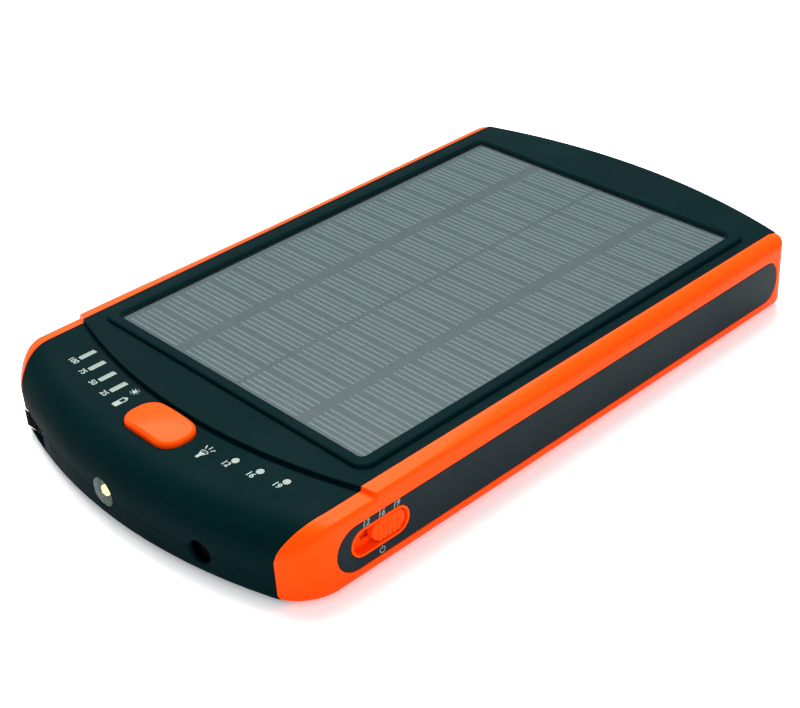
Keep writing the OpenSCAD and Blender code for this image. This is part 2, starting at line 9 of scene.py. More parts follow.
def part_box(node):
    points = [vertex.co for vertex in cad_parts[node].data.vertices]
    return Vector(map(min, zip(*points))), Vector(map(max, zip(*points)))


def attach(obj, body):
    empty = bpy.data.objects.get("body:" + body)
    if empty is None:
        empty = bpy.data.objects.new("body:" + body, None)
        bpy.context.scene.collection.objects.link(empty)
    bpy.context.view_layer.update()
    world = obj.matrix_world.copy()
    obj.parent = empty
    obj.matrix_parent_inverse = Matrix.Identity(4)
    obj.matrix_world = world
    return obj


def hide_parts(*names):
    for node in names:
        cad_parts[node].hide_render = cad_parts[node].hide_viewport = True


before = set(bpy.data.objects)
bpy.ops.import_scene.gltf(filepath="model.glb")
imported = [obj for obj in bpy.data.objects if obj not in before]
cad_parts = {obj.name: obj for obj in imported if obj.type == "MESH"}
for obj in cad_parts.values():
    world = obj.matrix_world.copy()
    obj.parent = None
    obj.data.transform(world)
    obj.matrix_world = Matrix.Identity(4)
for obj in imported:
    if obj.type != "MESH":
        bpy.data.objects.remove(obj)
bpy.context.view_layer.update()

# Solar power bank: detailed shells, panel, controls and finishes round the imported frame.
# Lengths are millimetres in the frame's own axes; MM turns them into Blender's metres.
MM = 0.001

# ---- driving dimensions of the body ----
HALF_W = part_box("side_frame_right")[1].x / MM
HALF_L = 100.25  # half length of the shell
FOOT_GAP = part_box("bottom_cover")[0].z / MM
PLATFORM_Z = 22.3  # top of the platform round the panel
DECK_Z = 21.1  # top of the control deck
SPLIT_Z = 7.2  # parting line between the covers
FRONT_ARC = 165.0  # plan radius of the front face
FAR_ARC = 195.0  # plan radius of the far edge
FRONT_CORNER = 14.0  # plan radius of the front corners
FAR_CORNER = 4.0  # plan radius of the far corners
NOSE_R = 10.0  # rounding between deck and front face
FAR_R = 2.0  # rounding of the far top edge
BASE_R = 2.2  # rounding of the lower edge
STEP_ARC = 180.0  # plan radius of the step up to the platform
STEP_Y = -76.7  # the step on the middle line
BAND_X = 55.2  # seam of cover and orange band along the side
BAND_ARC = 26.0  # plan radius of that seam round the nose
BAND_Y = -78.4  # where the seam's arc meets its straight run
SEAM = 0.05  # width of the seams
WALL = 1.8  # thickness of the covers
FRAME_WALL = 1.2  # thickness of the side bands
CEILING_Z = DECK_Z - WALL
LIP = 0.13  # rounding of a shell's open edges

# ---- the orange shoulder's cross-section ----
SHOULDER_W = HALF_W - BAND_X
CREASE_D = 0.85  # distance of the crease from the side
CREASE_DROP = 0.65  # fall at the crease
EDGE_DROP = 2.0  # fall of the creased shoulder at the side
SOFT_DROP = 3.6  # fall of the soft shoulder at the side
SOFT_Y = (-66.0, 30.0)  # where the crease starts to fade, and where it is gone
CORNER_EDGE = 4.5  # rounding of the edge round the front corners
NOSE_END = -78.0  # the nose's rounding ends here

# ---- places worked out from the driving dimensions ----
FRONT_C = FRONT_ARC - HALF_L
FAR_C = HALF_L - FAR_ARC
STEP_C = STEP_Y + STEP_ARC
CORNER_X = HALF_W - FRONT_CORNER
CORNER_Y = FRONT_C - math.sqrt((FRONT_ARC - FRONT_CORNER) ** 2 - CORNER_X ** 2)
END_X = HALF_W - FAR_CORNER
END_Y = FAR_C + math.sqrt((FAR_ARC - FAR_CORNER) ** 2 - END_X ** 2)
BAND_CX = BAND_X - BAND_ARC
FRONT_TURN = math.atan2(CORNER_X, FRONT_C - CORNER_Y)
FAR_TURN = math.atan2(END_X, END_Y - FAR_C)

# ---- panel ----
WINDOW = (96.0, 140.3)  # opening of the bezel, across and along
WINDOW_NEAR = -60.9
WINDOW_Y = WINDOW_NEAR + WINDOW[1] / 2
WINDOW_R = 1.7
BEZEL_W = 4.0
BEZEL_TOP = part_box("top_cover")[1].z / MM
LEDGE_Z = 20.6  # ledge that carries the panel
LEDGE_W = 4.0
CELL_ROWS = 15
CELL_GAP = 0.04
FINGER = 0.55  # width of a contact finger
FINGER_GROUPS = ((-45.6, -25.4), (-21.4, -0.1), (1.4, 22.9), (26.7, 47.3))  # ends along X
FINGERS = (5, 4)  # fingers in one row of cells and in the next
ROW_GAP = 1.7  # from one row's last finger to the next row's first, in finger pitches

# ---- controls and outlets ----
BUTTON = (20.4, 11.4, 4.8)  # width, length and corner radius
BUTTON_Y = -83.6
BUTTON_GAP = 0.25
BAR = (2.0, 5.3)  # width and length of a battery light's hole
BAR_X = -41  # first battery light
BAR_PITCH = 6.27
BAR_BACK = 4.6  # distance in front of the step
BAR_LEAN = 0.05  # each light lies this much nearer than the last
DOT_R = 1.15  # radius of a voltage light's hole
DOT_X = 24.6  # first voltage light
DOT_PITCH = 7.65
DOT_BACK = 4.9
PIPE_GAP = 0.1  # gap round a light pipe
PIPE_SINK = 0.15  # how far its top lies under the deck
INLAY_Y = (-80.1, 87.6)  # ends of the inlay's pocket
INLAY_Z = (4.0, 16.7)
INLAY_MID = sum(INLAY_Z) / 2
INLAY_H = (INLAY_Z[1] - INLAY_Z[0]) / 2
INLAY_FAR = 5.5  # length of the rounded far end
INLAY_POWER = 2.3  # squareness of the rounded far end
INLAY_GAP = 0.14
INLAY_SINK = 0.03  # how far the inlay lies under the band's face
INLAY_BACK = 0.95  # how far its back lies under the band's face
RECESS_Y = -66.55  # middle of the selector's recess
RECESS_Z = 10.75
RECESS_L = 16.9
RECESS_H = 6.4
TRAY_WALL = 0.8
TRAY_FLOOR_X = 56.9
TRAY_BACK_X = 56.1
KNOB_TRIM = 0.65  # half of what the knob's cap is shorter than its node, all at the near end
LENS_R = 4.0  # radius of the lens in the wall
FLANGE_R = 4.6  # radius of the lens's flange
CHIP_FRONT = 6.5  # from the back of the lens to the front of the lamp chip
DC_HOLE_R = 3.35
USB_HOLE = (7.0, 3.1, 0.6)  # half width, half height and corner radius
CUT_Y = (-104, -90)  # reach of the tools that open the front wall
SCREW_HOLE_R = 2.6
FOOT_HOLE_R = 5.05
CASE_SCREWS = [(side * 52, y) for side in (-1, 1) for y in (-56, 12, 80)]
FEET = [(side * 40, y) for side in (-1, 1) for y in (-76, 78)]


# ---- small helpers ----
def smooth(low, high, value):
    """Smooth step from 0 at low to 1 at high."""
    t = min(max((value - low) / (high - low), 0.0), 1.0)
    return t * t * (3 - 2 * t)


def spread(low, high, count):
    """count + 1 evenly spaced values from low to high."""
    return [low + (high - low) * i / count for i in range(count + 1)]


def blend(a, b, t):
    """Point a fraction t of the way from a to b."""
    return tuple(p + (q - p) * t for p, q in zip(a, b))


def round_drop(radius, depth):
    """Fall of a quarter-round edge at a depth in from the side it rounds into."""
    gap = radius - min(max(depth, 0.0), radius)
    return radius - math.sqrt(max(radius * radius - gap * gap, 0.0))


def step_at(x):
    """Place along Y of the step between deck and platform."""
    return STEP_C - math.sqrt(STEP_ARC ** 2 - x * x)


def front_y(x, depth=0.0):
    """Front face at x, moved inward by depth."""
    return FRONT_C - math.sqrt((FRONT_ARC - depth) ** 2 - x * x)


def far_y(x, depth=0.0):
    """Far face at x, moved inward by depth."""
    return FAR_C + math.sqrt((FAR_ARC - depth) ** 2 - x * x)


def in_front_of_step(start, pitch, count, back, lean=0.0):
    """Places in a row that follows the step, a distance in front of it."""
    columns = [start + pitch * i for i in range(count)]
    return [(x, step_at(x) - back - lean * i) for i, x in enumerate(columns)]


def middle(node):
    """Middle of a frame node's box."""
    low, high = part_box(node)
    return [(a + b) / 2 / MM for a, b in zip(low, high)]


BAR_PLACES = in_front_of_step(BAR_X, BAR_PITCH, 4, BAR_BACK, BAR_LEAN)
DOT_PLACES = in_front_of_step(DOT_X, DOT_PITCH, 3, DOT_BACK)


# ---- mesh building ----
class Skin:
    """Gathers faces in millimetres; a thin shell also gives each point its inner one."""

    def __init__(self):
        self.points = []
        self.inner = []
        self.faces = []

    def add(self, point, inner=None):
        self.points.append(point)
        self.inner.append(inner or point)
        return len(self.points) - 1

    def grid(self, rows, inner_rows=None, wrap_rows=False, wrap=False):
        """Quads between rows of points; wrap closes each row, wrap_rows joins last to first."""
        inner_rows = inner_rows or rows
        ids = [[self.add(p, q) for p, q in zip(row, inner)] for row, inner in zip(rows, inner_rows)]
        pairs = list(zip(ids, ids[1:]))
        if wrap_rows:
            pairs.append((ids[-1], ids[0]))
        for low, high in pairs:
            last = len(low) if wrap else len(low) - 1
            for i in range(last):
                j = (i + 1) % len(low)
                self.faces.append((low[i], low[j], high[j], high[i]))

    def fill(self, loops, place, place_inner=None):
        """Triangles between flat loops; place turns a plane point into a point in space."""
        flat = [Vector(p) for loop in loops for p in loop]
        edges = []
        start = 0
        for loop in loops:
            size = len(loop)
            edges += [(start + i, start + (i + 1) % size) for i in range(size)]
            start += size
        found = delaunay_2d_cdt(flat, edges, [], 0, 1e-4)
        ids = [self.add(place(*p), place_inner(*p) if place_inner else None) for p in found[0]]
        for face in found[2]:
            centre = sum((found[0][i] for i in face), Vector((0, 0))) / len(face)
            if sum(inside(centre, loop) for loop in loops) % 2:
                self.faces.append(tuple(ids[i] for i in face))

    def cap(self, ring, axis=2):
        """Closes a flat ring that stands across an axis."""
        level = ring[0][axis]
        flat = [(*point[:axis], *point[axis + 1:]) for point in ring]
        self.fill([flat], lambda *p: (*p[:axis], level, *p[axis:]))

    def stack(self, rings, axis=2):
        """Closed body from rings stacked along an axis."""
        self.grid(rings, wrap=True)
        self.cap(rings[0], axis)
        self.cap(rings[-1], axis)

    def bm(self, outward=None):
        """The gathered faces as one bmesh in metres, facing outward."""
        bm = bmesh.new()
        layer = bm.verts.layers.float_vector.new("inner")
        for point, inner in zip(self.points, self.inner):
            vert = bm.verts.new(Vector(point) * MM)
            vert[layer] = Vector(inner) * MM
        bm.verts.ensure_lookup_table()
        for face in self.faces:
            bm.faces.new([bm.verts[i] for i in face])
        bmesh.ops.remove_doubles(bm, verts=bm.verts, dist=0.004 * MM)
        bmesh.ops.delete(bm, geom=[v for v in bm.verts if not v.link_faces], context="VERTS")
        bmesh.ops.recalc_face_normals(bm, faces=bm.faces)
        if outward:
            way = Vector(outward)
            tip = max(bm.faces, key=lambda face: face.calc_center_median().dot(way))
            if tip.normal.dot(way) < 0:
                bmesh.ops.reverse_faces(bm, faces=bm.faces)
        return bm


def inside(point, loop):
    """Whether a plane point is inside a closed loop."""
    x, y = point
    hit = False
    for (ax, ay), (bx, by) in zip(loop, loop[1:] + loop[:1]):
        if (ay > y) != (by > y) and x < ax + (bx - ax) * (y - ay) / (by - ay):
            hit = not hit
    return hit


def close_shell(bm, lip):
    """Gives an open skin its inner side, joined by rims whose outer edge is rounded."""
    bm.normal_update()
    layer = bm.verts.layers.float_vector["inner"]
    outer_faces = list(bm.faces)
    outer_verts = list(bm.verts)
    rim_loops = [loop for face in outer_faces for loop in face.loops if loop.edge.is_boundary]
    ways = {}
    for loop in rim_loops:
        along = loop.link_loop_next.vert.co - loop.vert.co
        way = along.cross(loop.face.normal).normalized()
        for vert in (loop.vert, loop.link_loop_next.vert):
            ways.setdefault(vert, []).append(way)
    rings = {}
    for vert, sides in ways.items():
        total = sum(sides, Vector())
        mitre = total / max(1 + sides[0].dot(sides[-1]), 0.35)
        lengths = [edge.calc_length() for edge in vert.link_edges if not edge.is_boundary]
        size = min([lip * MM] + [0.4 * length for length in lengths])
        at = vert.co.copy()
        down = vert.normal * size
        mid = 1 - math.sqrt(0.5)
        first = bm.verts.new(at - mitre * size * mid - down * mid)
        second = bm.verts.new(at - down)
        rings[vert] = (first, second)
        vert.co = at - mitre * size
    twins = {vert: bm.verts.new(vert[layer]) for vert in outer_verts}
    for face in outer_faces:
        bm.faces.new([twins[vert] for vert in reversed(face.verts)])
    for loop in rim_loops:
        a = loop.vert
        b = loop.link_loop_next.vert
        line_a = (a, *rings[a], twins[a])
        line_b = (b, *rings[b], twins[b])
        for k in range(3):
            bm.faces.new((line_b[k], line_a[k], line_a[k + 1], line_b[k + 1]))
    bmesh.ops.remove_doubles(bm, verts=bm.verts, dist=0.001 * MM)
    bmesh.ops.recalc_face_normals(bm, faces=bm.faces)


def finish_mesh(bm, name, sharp=38):
    """Turns a bmesh into a smooth-shaded object with crisp corners."""
    bmesh.ops.dissolve_degenerate(bm, edges=bm.edges, dist=1e-7)
    mesh = bpy.data.meshes.new(name)
    if "inner" in bm.verts.layers.float_vector:
        bm.verts.layers.float_vector.remove(bm.verts.layers.float_vector["inner"])
    bm.to_mesh(mesh)
    bm.free()
    mesh.shade_smooth()
    mesh.set_sharp_from_angle(angle=math.radians(sharp))
    obj = bpy.data.objects.new(name, mesh)
    bpy.context.scene.collection.objects.link(obj)
    return obj


def weigh(obj):
    """Keeps large flat faces flat in the shading."""
    mod = obj.modifiers.new("weighted", "WEIGHTED_NORMAL")
    mod.mode = "FACE_AREA"
    mod.keep_sharp = True
    return obj


def solid(skin, name, sharp=38):
    """A closed object from a skin that has no open edge."""
    return weigh(finish_mesh(skin.bm(), name, sharp))


def shell(skin, name, outward, lip=LIP):
    """A thin-walled object from an open skin."""
    bm = skin.bm(outward)
    close_shell(bm, lip)
    return finish_mesh(bm, name)


def place_piece(obj, material, slot, body, *nodes):
    """Finish, body and the frame nodes that a piece stands for."""
    obj.data.materials.clear()
    obj.data.materials.append(material)
    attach(obj, body)
    if nodes:
        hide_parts(*nodes)
    return obj


def cut(obj, tool):
    """Takes a closed tool away from an object's mesh."""
    mod = obj.modifiers.new("cut", "BOOLEAN")
    mod.operation = "DIFFERENCE"
    mod.solver = "EXACT"
    mod.object = tool
    bpy.context.view_layer.update()
    graph = bpy.context.evaluated_depsgraph_get()
    result = bpy.data.meshes.new_from_object(obj.evaluated_get(graph))
    obj.modifiers.clear()
    obj.data = result
    bpy.data.objects.remove(tool, do_unlink=True)


# ---- loops ----
def rect_loop(half_x, half_y, radius, corner=8, cuts=1):
    """Rounded rectangle round the origin, with its straight runs cut into equal parts."""
    loop = []
    inner_x = half_x - radius
    inner_y = half_y - radius
    for k, (sx, sy) in enumerate(((1, 1), (-1, 1), (-1, -1), (1, -1))):
        for angle in spread(k * math.pi / 2, (k + 1) * math.pi / 2, corner):
            loop.append((sx * inner_x + radius * math.cos(angle), sy * inner_y + radius * math.sin(angle)))
        start = loop[-1]
        nx, ny = ((-1, 1), (-1, -1), (1, -1), (1, 1))[k]
        turn = (k + 1) * math.pi / 2
        end = (nx * inner_x + radius * math.cos(turn), ny * inner_y + radius * math.sin(turn))
        loop += [blend(start, end, i / cuts) for i in range(1, cuts)]
    return loop


def shifted(loop, dx, dy):
    return [(x + dx, y + dy) for x, y in loop]


def circle(radius, count=48):
    turn = 2 * math.pi / count
    return [(radius * math.cos(turn * i), radius * math.sin(turn * i)) for i in range(count)]


def recess_loop(grow, corner=14):
    """Pill outline of the selector's recess in Y and Z, grown by a margin."""
    half_l = RECESS_L / 2 + grow
    half_h = RECESS_H / 2 + grow
    return shifted(rect_loop(half_l, half_h, half_h - 0.002, corner), RECESS_Y, RECESS_Z)


# ---- the body's outline ----
def depth_at(x, y):
    """Distance in from the outline, for x of 0 or more."""
    if y < CORNER_Y:
        if x * (FRONT_C - CORNER_Y) > CORNER_X * (FRONT_C - y):
            return FRONT_CORNER - math.hypot(x - CORNER_X, y - CORNER_Y)
        return FRONT_ARC - math.hypot(x, y - FRONT_C)
    if y > END_Y and x * (END_Y - FAR_C) > END_X * (y - FAR_C):
        return FAR_CORNER - math.hypot(x - END_X, y - END_Y)
    return min(HALF_W - x, FAR_ARC - math.hypot(x, y - FAR_C))


def shoulder(depth, y):
    """Fall of the orange shoulder, creased near the controls and one soft rounding farther back."""
    if depth >= SHOULDER_W:
        return 0.0
    away = 1 - max(depth, 0.0) / SHOULDER_W
    soft = SOFT_DROP * (1 - math.sqrt(max(1 - away * away, 0.0)))
    return creased(depth) + (soft - creased(depth)) * smooth(*SOFT_Y, y)


def creased(depth):
    """Fall of the creased shoulder: a gentle slope, a crease and a rounded edge."""
    slope = CREASE_DROP / (SHOULDER_W - CREASE_D)
    if depth > CREASE_D:
        return slope * (SHOULDER_W - depth)
    t = 1 - max(depth, 0.0) / CREASE_D
    rest = EDGE_DROP - CREASE_DROP - slope * CREASE_D
    return CREASE_DROP + slope * CREASE_D * t + rest * (1 - math.sqrt(max(1 - t * t, 0.0)))


class Station:
    """A place on the right half of the outline, with the shape of the edge there."""

    def __init__(self, x, y, out, far=0.0, seam_y=None):
        self.x = x
        self.y = y
        self.out = out
        turn = math.atan2(out[0], -out[1])
        self.side = smooth(FRONT_TURN, FRONT_TURN + 0.5, turn)
        self.round = 1 - smooth(math.radians(40), math.radians(88), turn)
        self.far = far
        self.seam_y = seam_y
        notch = step_at(HALF_W)
        self.level = DECK_Z + (PLATFORM_Z - DECK_Z) * smooth(notch - 0.2, notch + 0.2, y)

    def at(self, depth):
        return (self.x - depth * self.out[0], self.y - depth * self.out[1])

    def seam(self, gap=0.0):
        """Plan point where the orange band starts, moved toward the middle by gap."""
        if self.seam_y is not None:
            return (BAND_X - gap, self.seam_y)
        radius = BAND_ARC - gap
        dx = self.x - BAND_CX
        dy = self.y - BAND_Y
        dot = dx * self.out[0] + dy * self.out[1]
        left = dot * dot - dx * dx - dy * dy + radius * radius
        outside = dx > 0 and math.hypot(dx, dy) > radius
        depth = max(dot - math.sqrt(max(left, 0.0)), 0.0) if outside else 0.0
        point = self.at(depth)
        if point[1] > BAND_Y:
            point = self.at((self.x - BAND_X + gap) / self.out[0])
        return point

    def top(self, x, y):
        """Height of the top surface over a plan point."""
        depth = depth_at(x, y)
        nose = round_drop(NOSE_R, FRONT_ARC - math.hypot(x, y - FRONT_C)) if y < NOSE_END else 0.0
        edge = (1 - self.round) * shoulder(depth, y) + self.round * round_drop(CORNER_EDGE, depth)
        edge += self.far * (round_drop(FAR_R, depth) - edge)
        return self.level - math.hypot(nose, self.side * edge)

    def bottom(self, x, y):
        return FOOT_GAP + round_drop(BASE_R, depth_at(x, y))

    def edge(self):
        """Height at which the side wall turns into the top."""
        return self.top(self.x, self.y)


def corner_station(angle):
    """Station whose outward direction is this far round from -Y."""
    out = (math.sin(angle), -math.cos(angle))
    if angle < FRONT_TURN:
        return Station(FRONT_ARC * out[0], FRONT_C + FRONT_ARC * out[1], out)
    return Station(CORNER_X + FRONT_CORNER * out[0], CORNER_Y + FRONT_CORNER * out[1], out)


def side_station(y):
    """Station on the right side; its seam point leans along the step near the notch."""
    if y < CORNER_Y:
        return corner_station(math.acos((CORNER_Y - y) / FRONT_CORNER))
    lean = step_at(BAND_X) - step_at(HALF_W)
    near = 1 - smooth(4.0, 11.0, abs(y - step_at(HALF_W)))
    return Station(HALF_W, y, (1.0, 0.0), seam_y=y + near * lean if y > CORNER_Y + 1e-6 else y)


def end_station(t):
    """Station round the far corner, t from 0 on the side to 1 where the band ends."""
    last = math.pi - math.asin(BAND_X / FAR_ARC)
    angle = math.pi / 2 + (last - math.pi / 2) * t
    out = (math.sin(angle), -math.cos(angle))
    if angle < math.pi - FAR_TURN:
        point = (END_X + FAR_CORNER * out[0], END_Y + FAR_CORNER * out[1])
    else:
        point = (FAR_ARC * out[0], FAR_C + FAR_ARC * out[1])
    if t >= 1:
        point = (BAND_X, far_y(BAND_X))
    seam_y = END_Y + (far_y(BAND_X) - END_Y) * math.sin(t * math.pi / 2)
    return Station(*point, out, far=smooth(0.0, 0.9, t), seam_y=seam_y)


def tip_angle(gap=0.0):
    """Outward direction at which the band's edge meets the outline near the nose."""
    low = FRONT_TURN
    high = math.pi / 2
    for _ in range(50):
        mid = (low + high) / 2
        here = corner_station(mid)
        if math.hypot(here.x - BAND_CX, here.y - BAND_Y) < BAND_ARC - gap:
            low = mid
        else:
            high = mid
    return low


# ---- covers ----
BASE_REACH = 5
BASE_STEPS = [d / BASE_REACH for d in (0, 0.05, 0.2, 0.45, 0.8, 1.3, 1.9, 2.6, 3.4, 4.2, BASE_REACH)]
ARC_CUTS = 8
TIP_CUTS = 3
COLUMNS = spread(-BAND_X + SEAM, BAND_X - SEAM, 48)


def front_stations():
    """Stations from the middle of the nose round the corner to the side, and those with a wall."""
    tip = tip_angle(SEAM)
    angles = spread(0, FRONT_TURN, ARC_CUTS)
    angles += spread(FRONT_TURN, tip, TIP_CUTS)[1:]
    angles += spread(tip, math.pi / 2, 22)[1:]
    stations = [corner_station(angle) for angle in angles]
    return stations, stations[:ARC_CUTS + TIP_CUTS + 1]


def front_wall(skin, stations, heights_at):
    """Upright part of the front face, as thick as a cover."""
    rows = []
    inner = []
    for station in stations:
        heights = heights_at(station)
        x, y = station.at(WALL)
        rows.append([(station.x, station.y, z) for z in heights])
        inner.append([(x, y, z) for z in heights])
    skin.grid(both_sides(rows), both_sides(inner))


def offset_in(points, rows, thick):
    """Inner points of a profile, moved against its own outward normal in its own plane."""
    moved = []
    for i, point in enumerate(points):
        a = Vector(points[max(i - 1, 0)])
        b = Vector(points[min(i + 1, len(points) - 1)])
        along = (b - a).normalized()
        side = Vector((rows[0], rows[1], 0))
        plane = along.cross(side.cross(Vector((0, 0, 1))))
        if plane.dot(side) + 1e-4 * plane.z < 0:
            plane = -plane
        moved.append(tuple(Vector(point) - plane.normalized() * thick))
    return moved


def both_sides(rows):
    """Rows of the right half, and the same rows mirrored, as one run from left to right."""
    left = [[(-x, y, z) for x, y, z in row] for row in reversed(rows)]
    return left + rows[1:]


def mirror_loop(half):
    """Closed plan loop from its right half, which starts and ends on the middle line."""
    return half + [(-x, y) for x, y in reversed(half) if x > 1e-6]


def nose_profile(station):
    """Top of the nose at a station, from the deck out to the seam or the front edge."""
    seam_depth = math.hypot(station.x - station.seam(SEAM)[0], station.y - station.seam(SEAM)[1])
    deepest = math.asin((NOSE_R - seam_depth) / NOSE_R)
    points = []
    for angle in spread(0, deepest, 14):
        x, y = station.at(NOSE_R - NOSE_R * math.sin(angle))
        points.append((x, y, station.top(x, y)))
    return points


def inner_under(points, station):
    """Inner points for a profile that ends at the deck's ceiling."""
    moved = offset_in(points, station.out, WALL)
    return [(x, y, min(z, CEILING_Z)) for x, y, z in moved]


def nose_grid(skin):
    """Rounded nose of the top cover and its front wall down to the parting line."""
    stations, walled = front_stations()
    side = [side_station(y) for y in spread(CORNER_Y, NOSE_END, 3)[1:]]
    for station in side:
        station.seam_y = None
    rows = []
    inner = []
    for station in stations + side:
        points = nose_profile(station)
        rows.append(points)
        inner.append(inner_under(points, station))
    skin.grid(both_sides(rows), both_sides(inner))
    front_wall(skin, walled, lambda station: spread(station.edge(), SPLIT_Z + SEAM / 2, 4))
    return rows


def ceiling(x, y):
    return (x, y, CEILING_Z)


STEP_PROFILE = [
    (-0.85, DECK_Z), (-0.75, DECK_Z - 0.04), (-0.65, DECK_Z - 0.2), (-0.5, DECK_Z - 0.32),
    (-0.25, DECK_Z - 0.34), (-0.06, DECK_Z - 0.26), (0.0, DECK_Z - 0.1), (0.0, PLATFORM_Z - 0.3),
    (0.05, PLATFORM_Z - 0.13), (0.17, PLATFORM_Z - 0.03), (0.34, PLATFORM_Z)]


def step_strip(skin):
    """Step up to the platform, with the fine dark groove along its foot."""
    rows = [[(x, step_at(x) + dy, z) for dy, z in STEP_PROFILE] for x in COLUMNS]
    inner = [[ceiling(x, y) for x, y, _ in row] for row in rows]
    skin.grid(rows, inner)


def deck(skin, nose_rows):
    """Flat control deck with the openings for the button and the lights."""
    half = [row[0][:2] for row in nose_rows]
    half += [point[:2] for point in nose_rows[-1][1:]]
    foot = [(x, step_at(x) + STEP_PROFILE[0][0]) for x in COLUMNS if x > -1e-6]
    outline = mirror_loop(half + foot[::-1])
    half_x = BUTTON[0] / 2 + BUTTON_GAP
    half_y = BUTTON[1] / 2 + BUTTON_GAP
    holes = [shifted(rect_loop(half_x, half_y, BUTTON[2] + BUTTON_GAP), 0, BUTTON_Y)]
    holes += [shifted(rect_loop(BAR[0] / 2, BAR[1] / 2, 0.35, 4), *place) for place in BAR_PLACES]
    holes += [shifted(circle(DOT_R, 32), *place) for place in DOT_PLACES]
    skin.fill([outline] + holes, lambda x, y: (x, y, DECK_Z), ceiling)


def bezel_loop(inset):
    """Plan loop of the bezel, in from its outer foot."""
    radius = max(4.0 - inset * (4.0 - WINDOW_R) / BEZEL_W, WINDOW_R)
    half = (WINDOW[0] / 2 + BEZEL_W - inset, WINDOW[1] / 2 + BEZEL_W - 0.5 - inset)
    if inset >= BEZEL_W:
        half = (half[0], half[1] + 0.5)
    elif inset > 2:
        half = (half[0], half[1] + 0.5 * (inset - 2) / (BEZEL_W - 2))
    return shifted(rect_loop(*half, radius, 10), 0, WINDOW_Y)


BEZEL_PROFILE = [
    (0.0, PLATFORM_Z), (0.05, PLATFORM_Z + 0.1), (0.08, PLATFORM_Z + 0.5), (0.16, BEZEL_TOP - 0.36),
    (0.34, BEZEL_TOP - 0.16), (0.62, BEZEL_TOP - 0.04), (1.0, BEZEL_TOP), (2.9, BEZEL_TOP),
    (3.12, BEZEL_TOP - 0.05), (3.3, BEZEL_TOP - 0.16), (BEZEL_W, BEZEL_TOP - 0.62),
    (BEZEL_W, LEDGE_Z), (BEZEL_W + LEDGE_W, LEDGE_Z)]


def platform(skin):
    """Platform round the panel, its raised bezel and the ledge that carries the panel."""
    near = [(x, step_at(x) + STEP_PROFILE[-1][0]) for x in COLUMNS]
    far = [(x, far_y(x, FAR_R)) for x in reversed(COLUMNS)]
    skin.fill([near + far, bezel_loop(0.0)], lambda x, y: (x, y, PLATFORM_Z), ceiling)
    rings = [[(x, y, z) for x, y in bezel_loop(inset)] for inset, z in BEZEL_PROFILE]
    inner = [[ceiling(x, y) for x, y, _ in ring] for ring in rings]
    skin.grid(rings, inner, wrap=True)


def far_edge(skin):
    """Rounded far edge of the top cover and the wall under it."""
    rows = []
    inner = []
    for x in COLUMNS:
        depths = [FAR_R - FAR_R * math.sin(angle) for angle in spread(0, math.pi / 2, 6)]
        points = [(x, far_y(x, d), PLATFORM_Z - round_drop(FAR_R, d)) for d in depths]
        points += [(x, far_y(x), z) for z in spread(PLATFORM_Z - FAR_R, SPLIT_Z + SEAM / 2, 4)[1:]]
        rows.append(points)
        deep = [(x, far_y(x, max(d, WALL)), min(CEILING_Z, z)) for (_, _, z), d in zip(points, depths)]
        deep += [(x, far_y(x, WALL), min(CEILING_Z, z)) for _, _, z in points[len(depths):]]
        inner.append(deep)
    skin.grid(rows, inner)


def wall_tools():
    """Closed tools that open the front wall for the lamp and the two outlets."""
    torch_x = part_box("torch_lens")[0].x / MM + FLANGE_R
    torch_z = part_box("torch_lens")[0].z / MM + FLANGE_R
    face = front_y(torch_x)
    inside_y = face + 9
    outside_y = face - 6
    hole_r = LENS_R + 0.12
    profile = [(0.0, inside_y), (hole_r, inside_y), (hole_r, face + 0.3)]
    profile += [(4.45, face - 0.1), (FLANGE_R, outside_y), (0.0, outside_y)]
    lamp = Skin()
    lathe(lamp, profile, (torch_x, torch_z), 64)
    low_y, high_y = CUT_Y
    dc_x, _, dc_z = middle("dc_centre_pin")
    power = Skin()
    lathe(power, [(0.0, high_y), (DC_HOLE_R, high_y), (DC_HOLE_R, low_y), (0.0, low_y)], (dc_x, dc_z), 64)
    usb_x, _, usb_z = middle("usb_shell")
    slot = Skin()
    outline = shifted(rect_loop(*USB_HOLE, 5), usb_x, usb_z)
    slot.stack([[(x, y, z) for x, z in outline] for y in CUT_Y], 1)
    return [finish_mesh(skin.bm(), "tool") for skin in (lamp, power, slot)]


def lathe(skin, profile, centre, count):
    """Surface of revolution round a line along Y; the profile holds radius and y."""
    rows = []
    for radius, y in profile:
        rows.append([(centre[0] + u, y, centre[1] + v) for u, v in circle(max(radius, 1e-5), count)])
    skin.grid(rows, wrap=True)


def build_top_cover(material):
    skin = Skin()
    nose_rows = nose_grid(skin)
    deck(skin, nose_rows)
    step_strip(skin)
    platform(skin)
    far_edge(skin)
    obj = shell(skin, "top_cover_shell", (0, 0, 1))
    for tool in wall_tools():
        cut(obj, tool)
    weigh(obj)
    place_piece(obj, material, "soft_touch_black", "chassis", "top_cover")


